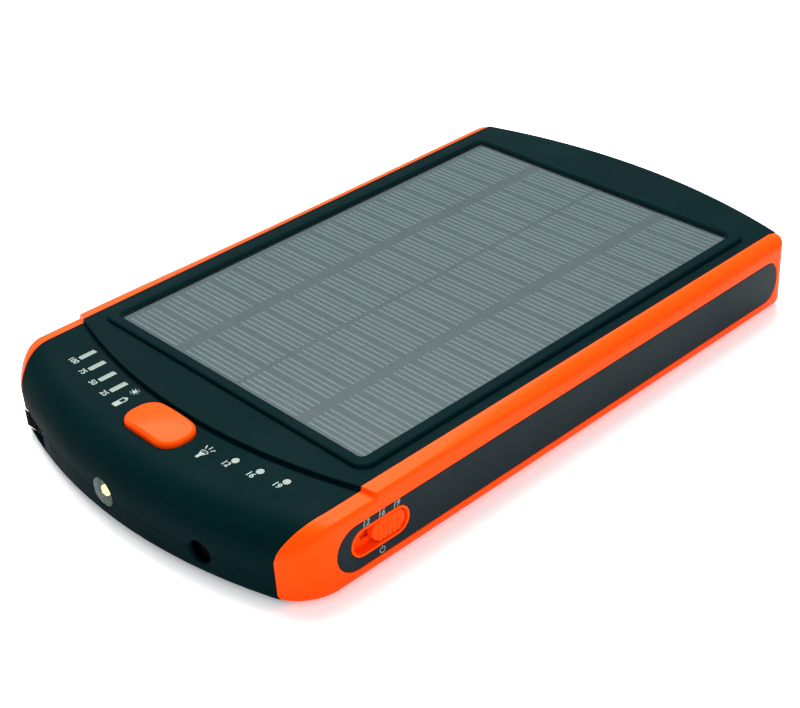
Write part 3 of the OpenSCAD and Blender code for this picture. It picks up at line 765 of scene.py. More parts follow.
def build_bottom_cover(material):
    """Lower shell: front wall, rounded lower edge and the flat underside."""
    skin = Skin()
    stations, walled = front_stations()
    rows = []
    inner = []
    for station in stations:
        start = station.seam(SEAM)
        first = math.hypot(station.x - start[0], station.y - start[1])
        points = []
        deep = []
        for step in BASE_STEPS:
            depth = first + (BASE_REACH - first) * step
            x, y = station.at(depth)
            points.append((x, y, station.bottom(x, y)))
            u, v = station.at(max(depth, WALL + 0.4 * min(depth, 1.0)))
            lift = WALL * min(1.0, math.sqrt(depth / BASE_R)) if depth < BASE_R else WALL
            deep.append((u, v, station.bottom(x, y) + lift))
        rows.append(points)
        inner.append(deep)
    skin.grid(both_sides(rows), both_sides(inner))
    front_wall(skin, walled, lambda station: spread(SPLIT_Z - SEAM / 2, FOOT_GAP + BASE_R, 2))
    far_rows = []
    far_inner = []
    for x in COLUMNS:
        depths = [BASE_R - BASE_R * math.sin(angle) for angle in spread(0, math.pi / 2, 7)]
        points = [(x, far_y(x, d), FOOT_GAP + round_drop(BASE_R, d)) for d in depths]
        lifts = [WALL + (BASE_R - WALL) * (1 - d / BASE_R) ** 2 for d in depths]
        deep = [(x, far_y(x, max(d, WALL + 0.2)), FOOT_GAP + lift) for d, lift in zip(depths, lifts)]
        points.append((x, far_y(x), SPLIT_Z - SEAM / 2))
        deep.append((x, far_y(x, WALL + 0.2), SPLIT_Z - SEAM / 2))
        far_rows.append(points)
        far_inner.append(deep)
    skin.grid(far_rows, far_inner)
    half = [row[-1][:2] for row in rows]
    half += [point[:2] for point in reversed(rows[-1][:-1])]
    half += [(x, far_y(x, BASE_R)) for x in reversed(COLUMNS) if x > -1e-6]
    holes = [shifted(circle(SCREW_HOLE_R, 32), *place) for place in CASE_SCREWS]
    holes += [shifted(circle(FOOT_HOLE_R), *place) for place in FEET]
    floor_z = FOOT_GAP + WALL
    skin.fill([mirror_loop(half)] + holes, lambda x, y: (x, y, FOOT_GAP), lambda x, y: (x, y, floor_z))
    obj = shell(skin, "bottom_cover_shell", (0, 0, -1))
    for tool in wall_tools():
        cut(obj, tool)
    weigh(obj)
    place_piece(obj, material, "soft_touch_black", "chassis", "bottom_cover")


# ---- side frames and inlays ----
# Shares of the way from side to seam; they lie closer together at the crease and the edge.
EDGE_REACH = 4.3
EDGE_STEPS = [d / EDGE_REACH for d in (EDGE_REACH, 3.6, 2.8, 2.0, 1.4, 1.05, 0.9, 0.8)]
EDGE_STEPS += [d / EDGE_REACH for d in (0.7, 0.58, 0.45, 0.32, 0.2, 0.1, 0.035, 0)]
UNDER_STEPS = [0, 0.012, 0.05, 0.11, 0.19, 0.3, 0.45, 0.62, 0.8, 1]


def pocket_half(y):
    """Half height of the inlay's pocket at a place along Y."""
    if y <= INLAY_Y[0] or y >= INLAY_Y[1]:
        return 0.0
    t = 0.0
    power = 2.0
    if y < INLAY_Y[0] + INLAY_H:
        t = (INLAY_Y[0] + INLAY_H - y) / INLAY_H
    if y > INLAY_Y[1] - INLAY_FAR:
        t = (y - INLAY_Y[1] + INLAY_FAR) / INLAY_FAR
        power = INLAY_POWER
    return INLAY_H * max(1 - t ** power, 0.0) ** (1 / power)


def frame_stations():
    """Stations of a side frame from the nose tip to the far end of the band."""
    tip = tip_angle()
    front_end = math.acos((CORNER_Y - INLAY_Y[0]) / FRONT_CORNER)
    stations = [corner_station(angle) for angle in spread(tip, front_end, 22)[:-1]]
    notch = step_at(HALF_W)
    places = [INLAY_Y[0] + INLAY_H * (1 - math.cos(a)) for a in spread(0, math.pi / 2, 12)]
    places += [notch + side * d for side in (-1, 1) for d in (0.04, 0.12, 0.2, 0.4, 0.8, 1.6, 3)]
    places += spread(-61, INLAY_Y[1] - INLAY_FAR, 26)
    places += [INLAY_Y[1] - INLAY_FAR * (1 - math.sin(a)) for a in spread(0, math.pi / 2, 10)[1:]]
    kept = []
    for y in sorted(places):
        if not kept or y - kept[-1] > 0.015:
            kept.append(y)
    stations += [side_station(y) for y in kept]
    stations += [end_station(t) for t in spread(0, 1, 18)]
    return stations


def frame_skin(side):
    """Open skin of one side frame, with the pocket left open for the inlay."""
    skin = Skin()
    upper = []
    upper_in = []
    lower = []
    lower_in = []
    for station in frame_stations():
        base = (station.x, station.y)
        seam = station.seam()
        wide = math.hypot(base[0] - seam[0], base[1] - seam[1])
        deep_base = station.at(FRAME_WALL)
        deep_seam = seam if wide > FRAME_WALL + 0.3 else station.at(FRAME_WALL + 0.3)
        half = pocket_half(station.y) if station.far == 0 else 0.0
        edge = station.edge()
        crest = station.top(*seam)
        points = []
        deep = []
        for step in EDGE_STEPS:
            x, y = blend(base, seam, step)
            z = station.top(x, y)
            share = (z - edge) / (crest - edge) if crest - edge > 0.01 else 0.0
            points.append((side * x, y, z))
            u, v = blend(deep_base, deep_seam, step)
            deep.append((side * u, v, z - FRAME_WALL * share))
        for z in spread(edge, INLAY_MID + half, 4)[1:]:
            points.append((side * base[0], base[1], z))
            deep.append((side * deep_base[0], deep_base[1], z))
        upper.append(points)
        upper_in.append(deep)
        points = []
        deep = []
        for z in spread(INLAY_MID - half, FOOT_GAP + BASE_R, 3)[:-1]:
            points.append((side * base[0], base[1], z))
            deep.append((side * deep_base[0], deep_base[1], z))
        for step in UNDER_STEPS:
            x, y = blend(base, seam, step)
            z = station.bottom(x, y)
            points.append((side * x, y, z))
            u, v = blend(deep_base, deep_seam, step)
            deep.append((side * u, v, z + FRAME_WALL * (1 - (z - FOOT_GAP) / BASE_R)))
        lower.append(points)
        lower_in.append(deep)
    skin.grid(upper, upper_in)
    skin.grid(lower, lower_in)
    return skin


def build_side_frame(side, name, node, material):
    obj = shell(frame_skin(side), name, (side, 0, 0))
    weigh(obj)
    place_piece(obj, material, "orange_gloss", "chassis", node)


def inlay_loop(inset):
    """Outline of the inlay in Y and Z, shrunk by inset."""
    front = INLAY_Y[0] + INLAY_H
    back = INLAY_Y[1] - INLAY_FAR
    height = INLAY_H - inset
    quarter = math.pi / 2
    loop = []
    for a in spread(-quarter, quarter, 32):
        loop.append((front - height * math.cos(a), INLAY_MID + height * math.sin(a)))
    length = INLAY_FAR - inset
    power = 2 / INLAY_POWER
    for a in spread(quarter, -quarter, 28):
        u = abs(math.cos(a)) ** power
        v = math.copysign(abs(math.sin(a)) ** power, math.sin(a))
        loop.append((back + length * u, INLAY_MID + height * v))
    return loop


def plate(skin, loop_at, hole_at, side, face_x, back_x, edge):
    """Plate facing along X with rounded rims, and an opening if hole_at is given."""
    rims = [(edge * (1 - math.sin(a)), edge * (1 - math.cos(a))) for a in spread(0, math.pi / 2, 4)]
    rings = [[(side * (face_x - drop), y, z) for y, z in loop_at(inset)] for inset, drop in rims]
    rings.append([(side * back_x, y, z) for y, z in loop_at(0.0)])
    skin.grid(rings, wrap=True)
    face_loops = [loop_at(edge)]
    back_loops = [loop_at(0.0)]
    if hole_at:
        rings = [[(side * (face_x - drop), y, z) for y, z in hole_at(inset)] for inset, drop in rims]
        rings.append([(side * back_x, y, z) for y, z in hole_at(0.0)])
        skin.grid(rings, wrap=True)
        face_loops.append(hole_at(edge))
        back_loops.append(hole_at(0.0))
    skin.fill(face_loops, lambda y, z: (side * face_x, y, z))
    skin.fill(back_loops, lambda y, z: (side * back_x, y, z))


def build_inlay(side, name, node, material, hole):
    skin = Skin()
    hole_at = (lambda inset: recess_loop(TRAY_WALL + 0.08 + inset)) if hole else None
    face_x = HALF_W - INLAY_SINK
    back_x = HALF_W - INLAY_BACK
    plate(skin, lambda inset: inlay_loop(INLAY_GAP + inset), hole_at, side, face_x, back_x, 0.22)
    place_piece(solid(skin, name), material, "inlay_black", "chassis", node)


def build_tray(material):
    """Moulded tray of the voltage selector, with its flush lip and slotted floor."""
    skin = Skin()
    face = HALF_W
    profile = [
        (TRAY_WALL - 0.06, TRAY_BACK_X), (TRAY_WALL - 0.06, face - 0.16), (TRAY_WALL - 0.11, face - 0.05),
        (TRAY_WALL - 0.22, face), (0.3, face), (0.12, face - 0.05), (0.03, face - 0.18), (0.0, face - 0.4),
        (0.0, TRAY_FLOOR_X + 0.35), (-0.1, TRAY_FLOOR_X + 0.1), (-0.35, TRAY_FLOOR_X)]
    skin.grid([[(x, y, z) for y, z in recess_loop(grow)] for grow, x in profile], wrap=True)
    slot = shifted(rect_loop(4.55, 1.5, 0.3, 4), RECESS_Y, RECESS_Z)
    skin.grid([[(x, y, z) for y, z in slot] for x in (TRAY_FLOOR_X, TRAY_BACK_X)], wrap=True)
    skin.fill([recess_loop(-0.35), slot], lambda y, z: (TRAY_FLOOR_X, y, z))
    skin.fill([recess_loop(TRAY_WALL - 0.06), slot], lambda y, z: (TRAY_BACK_X, y, z))
    place_piece(solid(skin, "selector_tray"), material, "orange_gloss", "chassis", "side_frame_right")


# ---- controls ----
def block(skin, low, high):
    """Closed block between two corners."""
    loop = [(low[0], low[1]), (high[0], low[1]), (high[0], high[1]), (low[0], high[1])]
    skin.stack([[(x, y, z) for x, y in loop] for z in (low[2], high[2])])


def build_knob(material):
    """Slide knob: a pill with rounded cross ribs, and behind it a forked stem and a cover plate."""
    low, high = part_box("slide_knob")
    _, stem_y, mid_z = middle("slide_knob")
    mid_y = stem_y + KNOB_TRIM
    half_h = RECESS_H / 2 - 0.25
    half_l = (high.y - low.y) / 2 / MM - KNOB_TRIM
    top_x = high.x / MM
    foot_x = TRAY_FLOOR_X + 0.3
    ribs = 5
    rib_h = 0.36
    edge_r = 0.45
    pitch = (2 * half_l - half_h) / ribs
    straight = half_l - half_h
    skin = Skin()
    rows = []
    for t in spread(-half_l, half_l, 150):
        reach = max(abs(t) - straight, 0.0)
        tall = math.sqrt(max(half_h ** 2 - reach ** 2, 0.0))
        wave = 0.5 + 0.5 * math.cos(2 * math.pi * t / pitch)
        rib = rib_h * (1 - (1 - wave) ** 1.6) if abs(t) < pitch * ribs / 2 else 0.0
        row = []
        for u in spread(-1, 1, 28):
            v = math.sin(u * math.pi / 2) * tall
            rim = half_h - math.hypot(reach, v)
            height = top_x - rib_h + rib - round_drop(edge_r, rim)
            row.append((height, mid_y + t, mid_z + v))
        row += [(foot_x, y, z) for _, y, z in reversed(row)]
        rows.append(row)
    skin.grid(rows, wrap=True)
    fork_x = 52.7
    fork_h = 1.15
    for y0, y1 in ((-2.0, -0.9), (0.9, 2.0)):
        block(skin, (fork_x, stem_y + y0, mid_z - fork_h), (foot_x + 0.4, stem_y + y1, mid_z + fork_h))
    plate_h = 1.9
    plate_low = (TRAY_BACK_X - 0.4, stem_y - 7.3, mid_z - plate_h)
    block(skin, plate_low, (TRAY_BACK_X - 0.1, stem_y + 7.0, mid_z + plate_h))
    knob = solid(skin, "selector_knob_cap", 50)
    place_piece(knob, material, "orange_satin", "selector_knob", "slide_knob")


def build_button(material):
    """Domed power button with its flange and stem."""
    crown_r = 60.0
    crown_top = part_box("power_button")[1].z / MM
    flange = 1.1
    half_x = BUTTON[0] / 2
    half_y = BUTTON[1] / 2

    def ring(inset, place):
        radius = max(BUTTON[2] - inset, 0.25)
        loop = shifted(rect_loop(half_x - inset, half_y - inset, radius, 10, 10), 0, BUTTON_Y)
        return [(x, y, place(x, y)) for x, y in loop]

    def crown(inset):
        def height(x, y):
            away = x * x + (y - BUTTON_Y) ** 2
            return crown_top - crown_r + math.sqrt(crown_r ** 2 - away) - round_drop(1.0, inset)
        return height

    insets = (5.2, 4.4, 3.5, 2.7, 2.0, 1.5, 1.1, 0.85, 0.6, 0.4, 0.24, 0.12, 0.04, 0)
    rings = [ring(inset, crown(inset)) for inset in insets]
    top_flange = DECK_Z - WALL - 0.15
    low_flange = top_flange - 0.85
    rings.append(ring(0, lambda x, y: top_flange))
    rings.append(ring(-flange, lambda x, y: top_flange))
    rings.append(ring(-flange, lambda x, y: low_flange))
    stem_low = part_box("power_button")[0].z / MM
    stem = shifted(rect_loop(2.0, 2.0, 1.99, 10, 10), 0, BUTTON_Y)
    rings.append([(x, y, low_flange) for x, y in stem])
    rings.append([(x, y, stem_low) for x, y in stem])
    skin = Skin()
    skin.grid(rings, wrap=True)
    inner = crown(insets[0])
    skin.fill([[(x, y) for x, y, _ in rings[0]]], lambda x, y: (x, y, inner(x, y)))
    skin.cap(rings[-1])
    place_piece(solid(skin, "power_button_cap"), material, "orange_gloss", "power_button", "power_button")


def build_pipes(material):
    """Light pipes of the battery bars and voltage lights, their tops a little under the deck."""
    bar = rect_loop(BAR[0] / 2 - PIPE_GAP, BAR[1] / 2 - PIPE_GAP, 0.3, 4)
    groups = (("battery_bars", "battery_light_pipes", bar, BAR_PLACES),
              ("voltage_dots", "voltage_light_pipes", circle(DOT_R - PIPE_GAP, 32), DOT_PLACES))
    top = DECK_Z - PIPE_SINK
    for name, node, loop, places in groups:
        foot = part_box(node)[0].z / MM
        skin = Skin()
        for dx, dy in places:
            rings = [[(dx + x * k, dy + y * k, z) for x, y in loop]
                     for k, z in ((1.0, foot), (1.0, top - 0.1), (0.99, top - 0.03), (0.96, top))]
            skin.stack(rings)
        place_piece(solid(skin, name), material, "light_pipe", "chassis", node)


def build_chip(material):
    """Lamp chip: a small package with bevelled edges, its front end inside the lens's clear dome."""
    low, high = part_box("torch_chip")
    mid_x, _, mid_z = middle("torch_chip")
    half = (high.x - low.x) / 2 / MM
    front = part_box("torch_lens")[1].y / MM - CHIP_FRONT
    skin = Skin()
    outline = rect_loop(1.0, 1.0, 0.2, 4)
    rings = [[(mid_x + x * size, y, mid_z + z * size) for x, z in outline]
             for size, y in ((half, high.y / MM), (half, front + 0.15), (half - 0.12, front))]
    skin.stack(rings, 1)
    place_piece(solid(skin, "torch_lamp_chip"), material, "lamp_chip", "chassis", "torch_chip")


def build_lens(material):
    """Clear torch lens: flange, barrel, domed front and the pocket behind it."""
    mid_x, _, mid_z = middle("torch_lens")
    centre = (mid_x, mid_z)
    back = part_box("torch_lens")[1].y / MM
    rim_y = -99.9
    dome_r = 7.5
    dome_y = rim_y + math.sqrt(dome_r ** 2 - LENS_R ** 2)
    profile = [(FLANGE_R, back), (FLANGE_R, back - 1.1), (FLANGE_R - 0.1, back - 1.2)]
    profile += [(LENS_R, back - 1.2), (LENS_R, rim_y + 0.15)]
    for a in spread(math.pi * 0.47, 0, 14):
        away = LENS_R * math.sin(a)
        profile.append((away, dome_y - math.sqrt(dome_r ** 2 - away ** 2)))
    skin = Skin()
    lathe(skin, profile, centre, 64)
    pocket_r = 3.2
    pocket = [(0.0, back - 5.2), (1.6, back - 5.25), (3.0, back - 5.15)]
    pocket += [(pocket_r, back - 4.9), (pocket_r, back), (FLANGE_R, back)]
    lathe(skin, pocket, centre, 64)
    place_piece(solid(skin, "torch_lens_dome"), material, "clear_lens", "chassis", "torch_lens")


def build_feet(material):
    """Four rubber feet with a rounded edge and a shallow hollow in the middle."""
    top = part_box("rubber_feet")[1].z / MM
    profile = [(0, 0.1), (2.4, 0.1), (2.7, 0.02), (2.9, 0.0), (4.5, 0.0)]
    profile += [(4.75, 0.05), (4.93, 0.18), (5.0, 0.4), (5.0, top), (0, top)]
    skin = Skin()
    for place in FEET:
        rows = [[(place[0] + u, place[1] + v, z) for u, v in circle(max(r, 1e-5))] for r, z in profile]
        skin.grid(rows, wrap=True)
    place_piece(solid(skin, "rubber_feet_pads"), material, "foot_rubber", "chassis", "rubber_feet")


# ---- solar panel ----
def build_cells(cell_material, finger_material):
    """Cell strips in two columns, and the lighter contact fingers printed on them."""
    low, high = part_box("solar_cells")
    counts = [FINGERS[row % 2] for row in range(CELL_ROWS)]
    pitch = (high.y - low.y) / MM / sum(count - 1 + ROW_GAP for count in counts)
    split_x = (FINGER_GROUPS[1][1] + FINGER_GROUPS[2][0]) / 2
    columns = ((low.x / MM, split_x - CELL_GAP / 2), (split_x + CELL_GAP / 2, high.x / MM))
    top = high.z / MM
    skin = Skin()
    fingers = Skin()
    start_y = low.y / MM
    for count in counts:
        end_y = start_y + pitch * (count - 1 + ROW_GAP)
        for x0, x1 in columns:
            block(skin, (x0, start_y, low.z / MM), (x1, end_y - CELL_GAP, top - 0.05))
        for x0, x1 in FINGER_GROUPS:
            for k in range(count):
                y = start_y + pitch * (ROW_GAP / 2 + k)
                block(fingers, (x0, y - FINGER / 2, top - 0.06), (x1, y + FINGER / 2, top - 0.02))
        start_y = end_y
    place_piece(solid(skin, "cell_strips"), cell_material, "silicon_cell", "chassis", "solar_cells")
    place_piece(solid(fingers, "cell_fingers"), finger_material, "silicon_cell", "chassis", "solar_cells")


# ---- printed marks ----
PRINT = 0.015  # half thickness of the ink


def number_mesh(text, size):
    """Thin mesh of a short number, in X and Y round its own middle, in millimetres."""
    curve = bpy.data.curves.new("number", "FONT")
    curve.body = text
    curve.size = size
    curve.align_x = "CENTER"
    curve.align_y = "CENTER"
    curve.offset = 0.05
    curve.extrude = PRINT
    curve.resolution_u = 3
    holder = bpy.data.objects.new("number", curve)
    bpy.context.scene.collection.objects.link(holder)
    bpy.context.view_layer.update()
    graph = bpy.context.evaluated_depsgraph_get()
    mesh = bpy.data.meshes.new_from_object(holder.evaluated_get(graph))
    bpy.data.objects.remove(holder, do_unlink=True)
    return mesh


class Marks:
    """Thin printed shapes gathered on one plane given by an origin and two directions."""

    def __init__(self, origin, right, up):
        self.origin = Vector(origin)
        self.right = Vector(right)
        self.up = Vector(up)
        self.out = self.right.cross(self.up)
        self.bm = bmesh.new()

    def matrix(self, u, v):
        basis = Matrix((self.right, self.up, self.out)).transposed().to_4x4()
        at = self.origin + self.right * u + self.up * v
        return Matrix.Scale(MM, 4) @ Matrix.Translation(at) @ basis

    def number(self, text, u, v, size, slant=0.0):
        mesh = number_mesh(text, size)
        shear = Matrix.Identity(4)
        shear[0][1] = slant
        mesh.transform(self.matrix(u, v) @ shear)
        self.bm.from_mesh(mesh)
        bpy.data.meshes.remove(mesh)

    def shape(self, loops, u, v):
        skin = Skin()
        faces = (-PRINT, PRINT)
        for z in faces:
            skin.fill(loops, lambda a, b, z=z: (a, b, z))
        for loop in loops:
            skin.grid([[(a, b, z) for a, b in loop] for z in faces], wrap=True)
        bm = skin.bm()
        mesh = bpy.data.meshes.new("mark")
        bm.to_mesh(mesh)
        bm.free()
        mesh.transform(self.matrix(u, v) @ Matrix.Scale(1 / MM, 4))
        self.bm.from_mesh(mesh)
        bpy.data.meshes.remove(mesh)

    def build(self, name, material):
        bmesh.ops.remove_doubles(self.bm, verts=self.bm.verts, dist=0.0005 * MM)
        obj = finish_mesh(self.bm, name)
        place_piece(obj, material, "white_plastic", "chassis")


def ray(angle, start, end, wide):
    """Short bar pointing out from the middle at an angle."""
    c = math.cos(angle)
    s = math.sin(angle)
    corners = ((start, -wide / 2), (end, -wide / 2), (end, wide / 2), (start, wide / 2))
    return [(a * c - b * s, a * s + b * c) for a, b in corners]


def sun_icon(marks, u, v, radius):
    marks.shape([circle(radius * 0.5, 28)], u, v)
    for k in range(8):
        marks.shape([ray(k * math.pi / 4, radius * 0.68, radius, radius * 0.17)], u, v)


def battery_icon(marks, u, v):
    """Upright battery, its lower part filled."""
    marks.shape([rect_loop(0.95, 1.95, 0.3, 4), shifted(rect_loop(0.6, 0.72, 0.2, 4), 0, 0.85)], u, v)
    marks.shape([shifted(rect_loop(0.42, 0.16, 0.05, 2), 0, 2.18)], u, v)


def torch_icon(marks, u, v):
    """Hand torch pointing to the far end, with three rays."""
    body = [(-0.42, -2.1), (0.42, -2.1), (0.5, -0.9), (1.25, 0.5), (-1.25, 0.5), (-0.5, -0.9)]
    marks.shape([body], u, v)
    ring = [(1.25 * a, 0.62 + 0.55 * b) for a, b in circle(1.0, 28)]
    hole = [(0.85 * a, 0.66 + 0.3 * b) for a, b in circle(1.0, 28)]
    marks.shape([ring, hole], u, v)
    for tilt in (-0.55, 0.0, 0.55):
        marks.shape([ray(math.pi / 2 + tilt, 1.75, 3.0, 0.34)], u, v + 0.1)


def power_icon(marks, u, v, radius):
    """Open ring with a bar, the usual sign for on and off."""
    gap = 0.55
    hole = 0.72 * radius
    turns = spread(gap, 2 * math.pi - gap, 30)
    back = spread(2 * math.pi - gap, gap, 30)
    outer = [(radius * math.sin(a), radius * math.cos(a)) for a in turns]
    inner = [(hole * math.sin(a), hole * math.cos(a)) for a in back]
    marks.shape([outer + inner], u, v)
    marks.shape([shifted(rect_loop(0.14 * radius, 0.5 * radius, 0.05, 2), 0, 0.75 * radius)], u, v)


def build_marks(material):
    deck_marks = Marks((0, 0, DECK_Z + 0.012), (1, 0, 0), (0, 1, 0))
    for text, (x, y) in zip(("100", "75", "50", "25"), BAR_PLACES):
        deck_marks.number(text, x - 0.2, y - BAR[1] / 2 - 1.65, 2.4)
    for text, (x, y) in zip(("12", "16", "19"), DOT_PLACES):
        deck_marks.number(text, x - 0.6, y - 2.45, 2.5)
    bar_x, bar_y = BAR_PLACES[-1]
    sun_icon(deck_marks, bar_x + 5.2, bar_y + 1.3, 1.35)
    battery_icon(deck_marks, bar_x + 6.0, bar_y - 3.9)
    torch_icon(deck_marks, 16.6, -83.4)
    deck_marks.build("deck_marks", material)
    side_marks = Marks((HALF_W - 0.018, 0, 0), (0, 1, 0), (0, 0, 1))
    for text, shift in (("12", -4.3), ("16", 0.5), ("19", 5.2)):
        side_marks.number(text, RECESS_Y + shift, RECESS_Z + 4.95, 2.3, 0.25)
    power_icon(side_marks, RECESS_Y, RECESS_Z - 5.3, 0.95)
    side_marks.build("selector_marks", material)


# ---- materials ----
def new_material(name, colour, rough, **values):
    """Principled material with its even values set on the shader's own sockets."""
    material = bpy.data.materials.new(name)
    material.use_nodes = True
    shader = material.node_tree.nodes["Principled BSDF"]
    shader.inputs["Base Color"].default_value = (*colour, 1)
    shader.inputs["Roughness"].default_value = rough
    for key, value in values.items():
        shader.inputs[key.replace("_", " ")].default_value = value
    return material


def noise(tree, scale, detail=2.0, rough=0.5, stretch=None):
    """Noise over the object's own space; stretch scales each axis."""
    place = tree.nodes.new("ShaderNodeTexCoord")
    source = place.outputs["Object"]
    if stretch:
        mapping = tree.nodes.new("ShaderNodeMapping")
        mapping.inputs["Scale"].default_value = stretch
        tree.links.new(source, mapping.inputs["Vector"])
        source = mapping.outputs["Vector"]
    node = tree.nodes.new("ShaderNodeTexNoise")
    node.inputs["Scale"].default_value = scale
    node.inputs["Detail"].default_value = detail
    node.inputs["Roughness"].default_value = rough
    tree.links.new(source, node.inputs["Vector"])
    return node.outputs["Fac"]


def tone(material, low, high, scale, detail=3.0, stretch=None, span=(0.35, 0.65)):
    """Base colour that drifts between two tones."""
    tree = material.node_tree
    ramp = tree.nodes.new("ShaderNodeValToRGB")
    ramp.color_ramp.elements[0].position = span[0]
    ramp.color_ramp.elements[1].position = span[1]
    ramp.color_ramp.elements[0].color = (*low, 1)
    ramp.color_ramp.elements[1].color = (*high, 1)
    tree.links.new(noise(tree, scale, detail, stretch=stretch), ramp.inputs["Fac"])
    tree.links.new(ramp.outputs["Color"], tree.nodes["Principled BSDF"].inputs["Base Color"])


def gloss(material, low, high, scale, detail=4.0, stretch=None):
    """Roughness that varies between two values, as handling leaves it."""
    tree = material.node_tree
    ranged = tree.nodes.new("ShaderNodeMapRange")
    ranged.inputs["From Min"].default_value = 0.3
    ranged.inputs["From Max"].default_value = 0.7
    ranged.inputs["To Min"].default_value = low
    ranged.inputs["To Max"].default_value = high
    tree.links.new(noise(tree, scale, detail, 0.6, stretch), ranged.inputs["Value"])
    tree.links.new(ranged.outputs["Result"], tree.nodes["Principled BSDF"].inputs["Roughness"])


def grain(material, scale, height, strength=0.5, detail=2.0, stretch=None):
    """Fine surface relief; height is in millimetres."""
    tree = material.node_tree
    bump = tree.nodes.new("ShaderNodeBump")
    bump.inputs["Strength"].default_value = strength
    bump.inputs["Distance"].default_value = height * MM
    tree.links.new(noise(tree, scale, detail, 0.6, stretch), bump.inputs["Height"])
    tree.links.new(bump.outputs["Normal"], tree.nodes["Principled BSDF"].inputs["Normal"])


def soft_touch():
    material = new_material("soft_touch_black", (0.0004, 0.0086, 0.0104), 0.6, Specular_IOR_Level=0.01)
    tone(material, (0.0003, 0.0080, 0.0098), (0.0005, 0.0092, 0.0110), 28)
    gloss(material, 0.48, 0.62, 45)
    grain(material, 3800, 0.03, 0.35)
    return material


def orange(name, rough_low, rough_high):
    material = new_material(name, (0.97, 0.064, 0.002), rough_low)
    shader = material.node_tree.nodes["Principled BSDF"]
    shader.inputs["Specular IOR Level"].default_value = 0.05
    shader.inputs["Specular Tint"].default_value = (1.0, 0.75, 0.35, 1)
    tone(material, (0.96, 0.060, 0.001), (0.98, 0.068, 0.003), 22)
    gloss(material, rough_low, rough_high, 60)
    grain(material, 900, 0.02, 0.15)
    return material


def inlay_finish():
    material = new_material("inlay_black", (0.006, 0.015, 0.019), 0.45, Specular_IOR_Level=0.05)
    tone(material, (0.0052, 0.0138, 0.0175), (0.0068, 0.0162, 0.0205), 35)
    gloss(material, 0.34, 0.46, 50)
    grain(material, 3200, 0.025, 0.3)
    return material


def cell_finish():
    """Blue-grey silicon with faint crystal patches."""
    material = new_material("silicon_cell", (0.052, 0.086, 0.096), 0.35, Specular_IOR_Level=0.1)
    tree = material.node_tree
    place = tree.nodes.new("ShaderNodeTexCoord")
    crystal = tree.nodes.new("ShaderNodeTexVoronoi")
    crystal.inputs["Scale"].default_value = 420
    tree.links.new(place.outputs["Object"], crystal.inputs["Vector"])
    ramp = tree.nodes.new("ShaderNodeValToRGB")
    ramp.color_ramp.elements[0].color = (0.048, 0.080, 0.090, 1)
    ramp.color_ramp.elements[1].color = (0.057, 0.093, 0.103, 1)
    tree.links.new(crystal.outputs["Color"], ramp.inputs["Fac"])
    tree.links.new(ramp.outputs["Color"], tree.nodes["Principled BSDF"].inputs["Base Color"])
    gloss(material, 0.3, 0.42, 70)
    return material


def finger_finish():
    material = new_material("cell_finger", (0.105, 0.165, 0.178), 0.4, Specular_IOR_Level=0.15)
    tone(material, (0.096, 0.152, 0.164), (0.115, 0.178, 0.192), 300)
    gloss(material, 0.34, 0.48, 600)
    return material


def clear_film():
    material = new_material("clear_sheet", (0.03, 0.04, 0.042), 0.2, Alpha=0.12, Specular_IOR_Level=0.06)
    gloss(material, 0.16, 0.24, 40)
    return material


def clear_moulding():
    material = new_material("clear_lens", (0.2, 0.27, 0.27), 0.05, Alpha=0.25, Specular_IOR_Level=0.5)
    gloss(material, 0.02, 0.06, 200)
    return material


def pipe_finish():
    material = new_material("light_pipe", (0.085, 0.145, 0.13), 0.35,
                            Subsurface_Weight=0.25, Subsurface_Scale=0.001)
    tone(material, (0.075, 0.13, 0.117), (0.095, 0.16, 0.143), 400)
    gloss(material, 0.28, 0.42, 500)
    return material


def print_finish():
    material = new_material("print_ink", (0.17, 0.24, 0.24), 0.55)
    tone(material, (0.15, 0.215, 0.215), (0.19, 0.265, 0.265), 2500, span=(0.3, 0.7))
    grain(material, 6000, 0.01, 0.3)
    return material


def metal(name, colour, rough, stretch=None):
    material = new_material(name, colour, rough, Metallic=1.0)
    dark = tuple(c * 0.88 for c in colour)
    tone(material, dark, colour, 180)
    gloss(material, rough * 0.8, rough * 1.3, 900, stretch=stretch)
    grain(material, 2500, 0.008, 0.25, stretch=stretch)
    return material


def plastic(name, colour, rough, scale=2600):
    material = new_material(name, colour, rough)
    tone(material, tuple(c * 0.9 for c in colour), tuple(min(c * 1.08, 1) for c in colour), 60)
    gloss(material, rough * 0.88, rough * 1.12, 90)
    grain(material, scale, 0.02, 0.3)
    return material


def chip_finish():
    """Yellow phosphor of the torch lamp, with a painted glow: its emission brightens the chip."""
    # The emission is a painted glow, not the lamp at work.
    material = new_material("lamp_chip", (0.95, 0.62, 0.05), 0.5,
                            Emission_Color=(1.0, 0.82, 0.35, 1), Emission_Strength=2.0)
    tone(material, (0.9, 0.55, 0.04), (0.98, 0.7, 0.08), 900)
    grain(material, 3000, 0.02, 0.3)
    return material


def floor_finish():
    material = new_material("floor", (0.93, 0.94, 0.95), 0.75, Specular_IOR_Level=0.2)
    shader = material.node_tree.nodes["Principled BSDF"]
    shader.inputs["Emission Color"].default_value = (0.98, 1.0, 1.0, 1)
    shader.inputs["Emission Strength"].default_value = 0.25
    tone(material, (0.925, 0.935, 0.945), (0.935, 0.945, 0.955), 6)
    return material


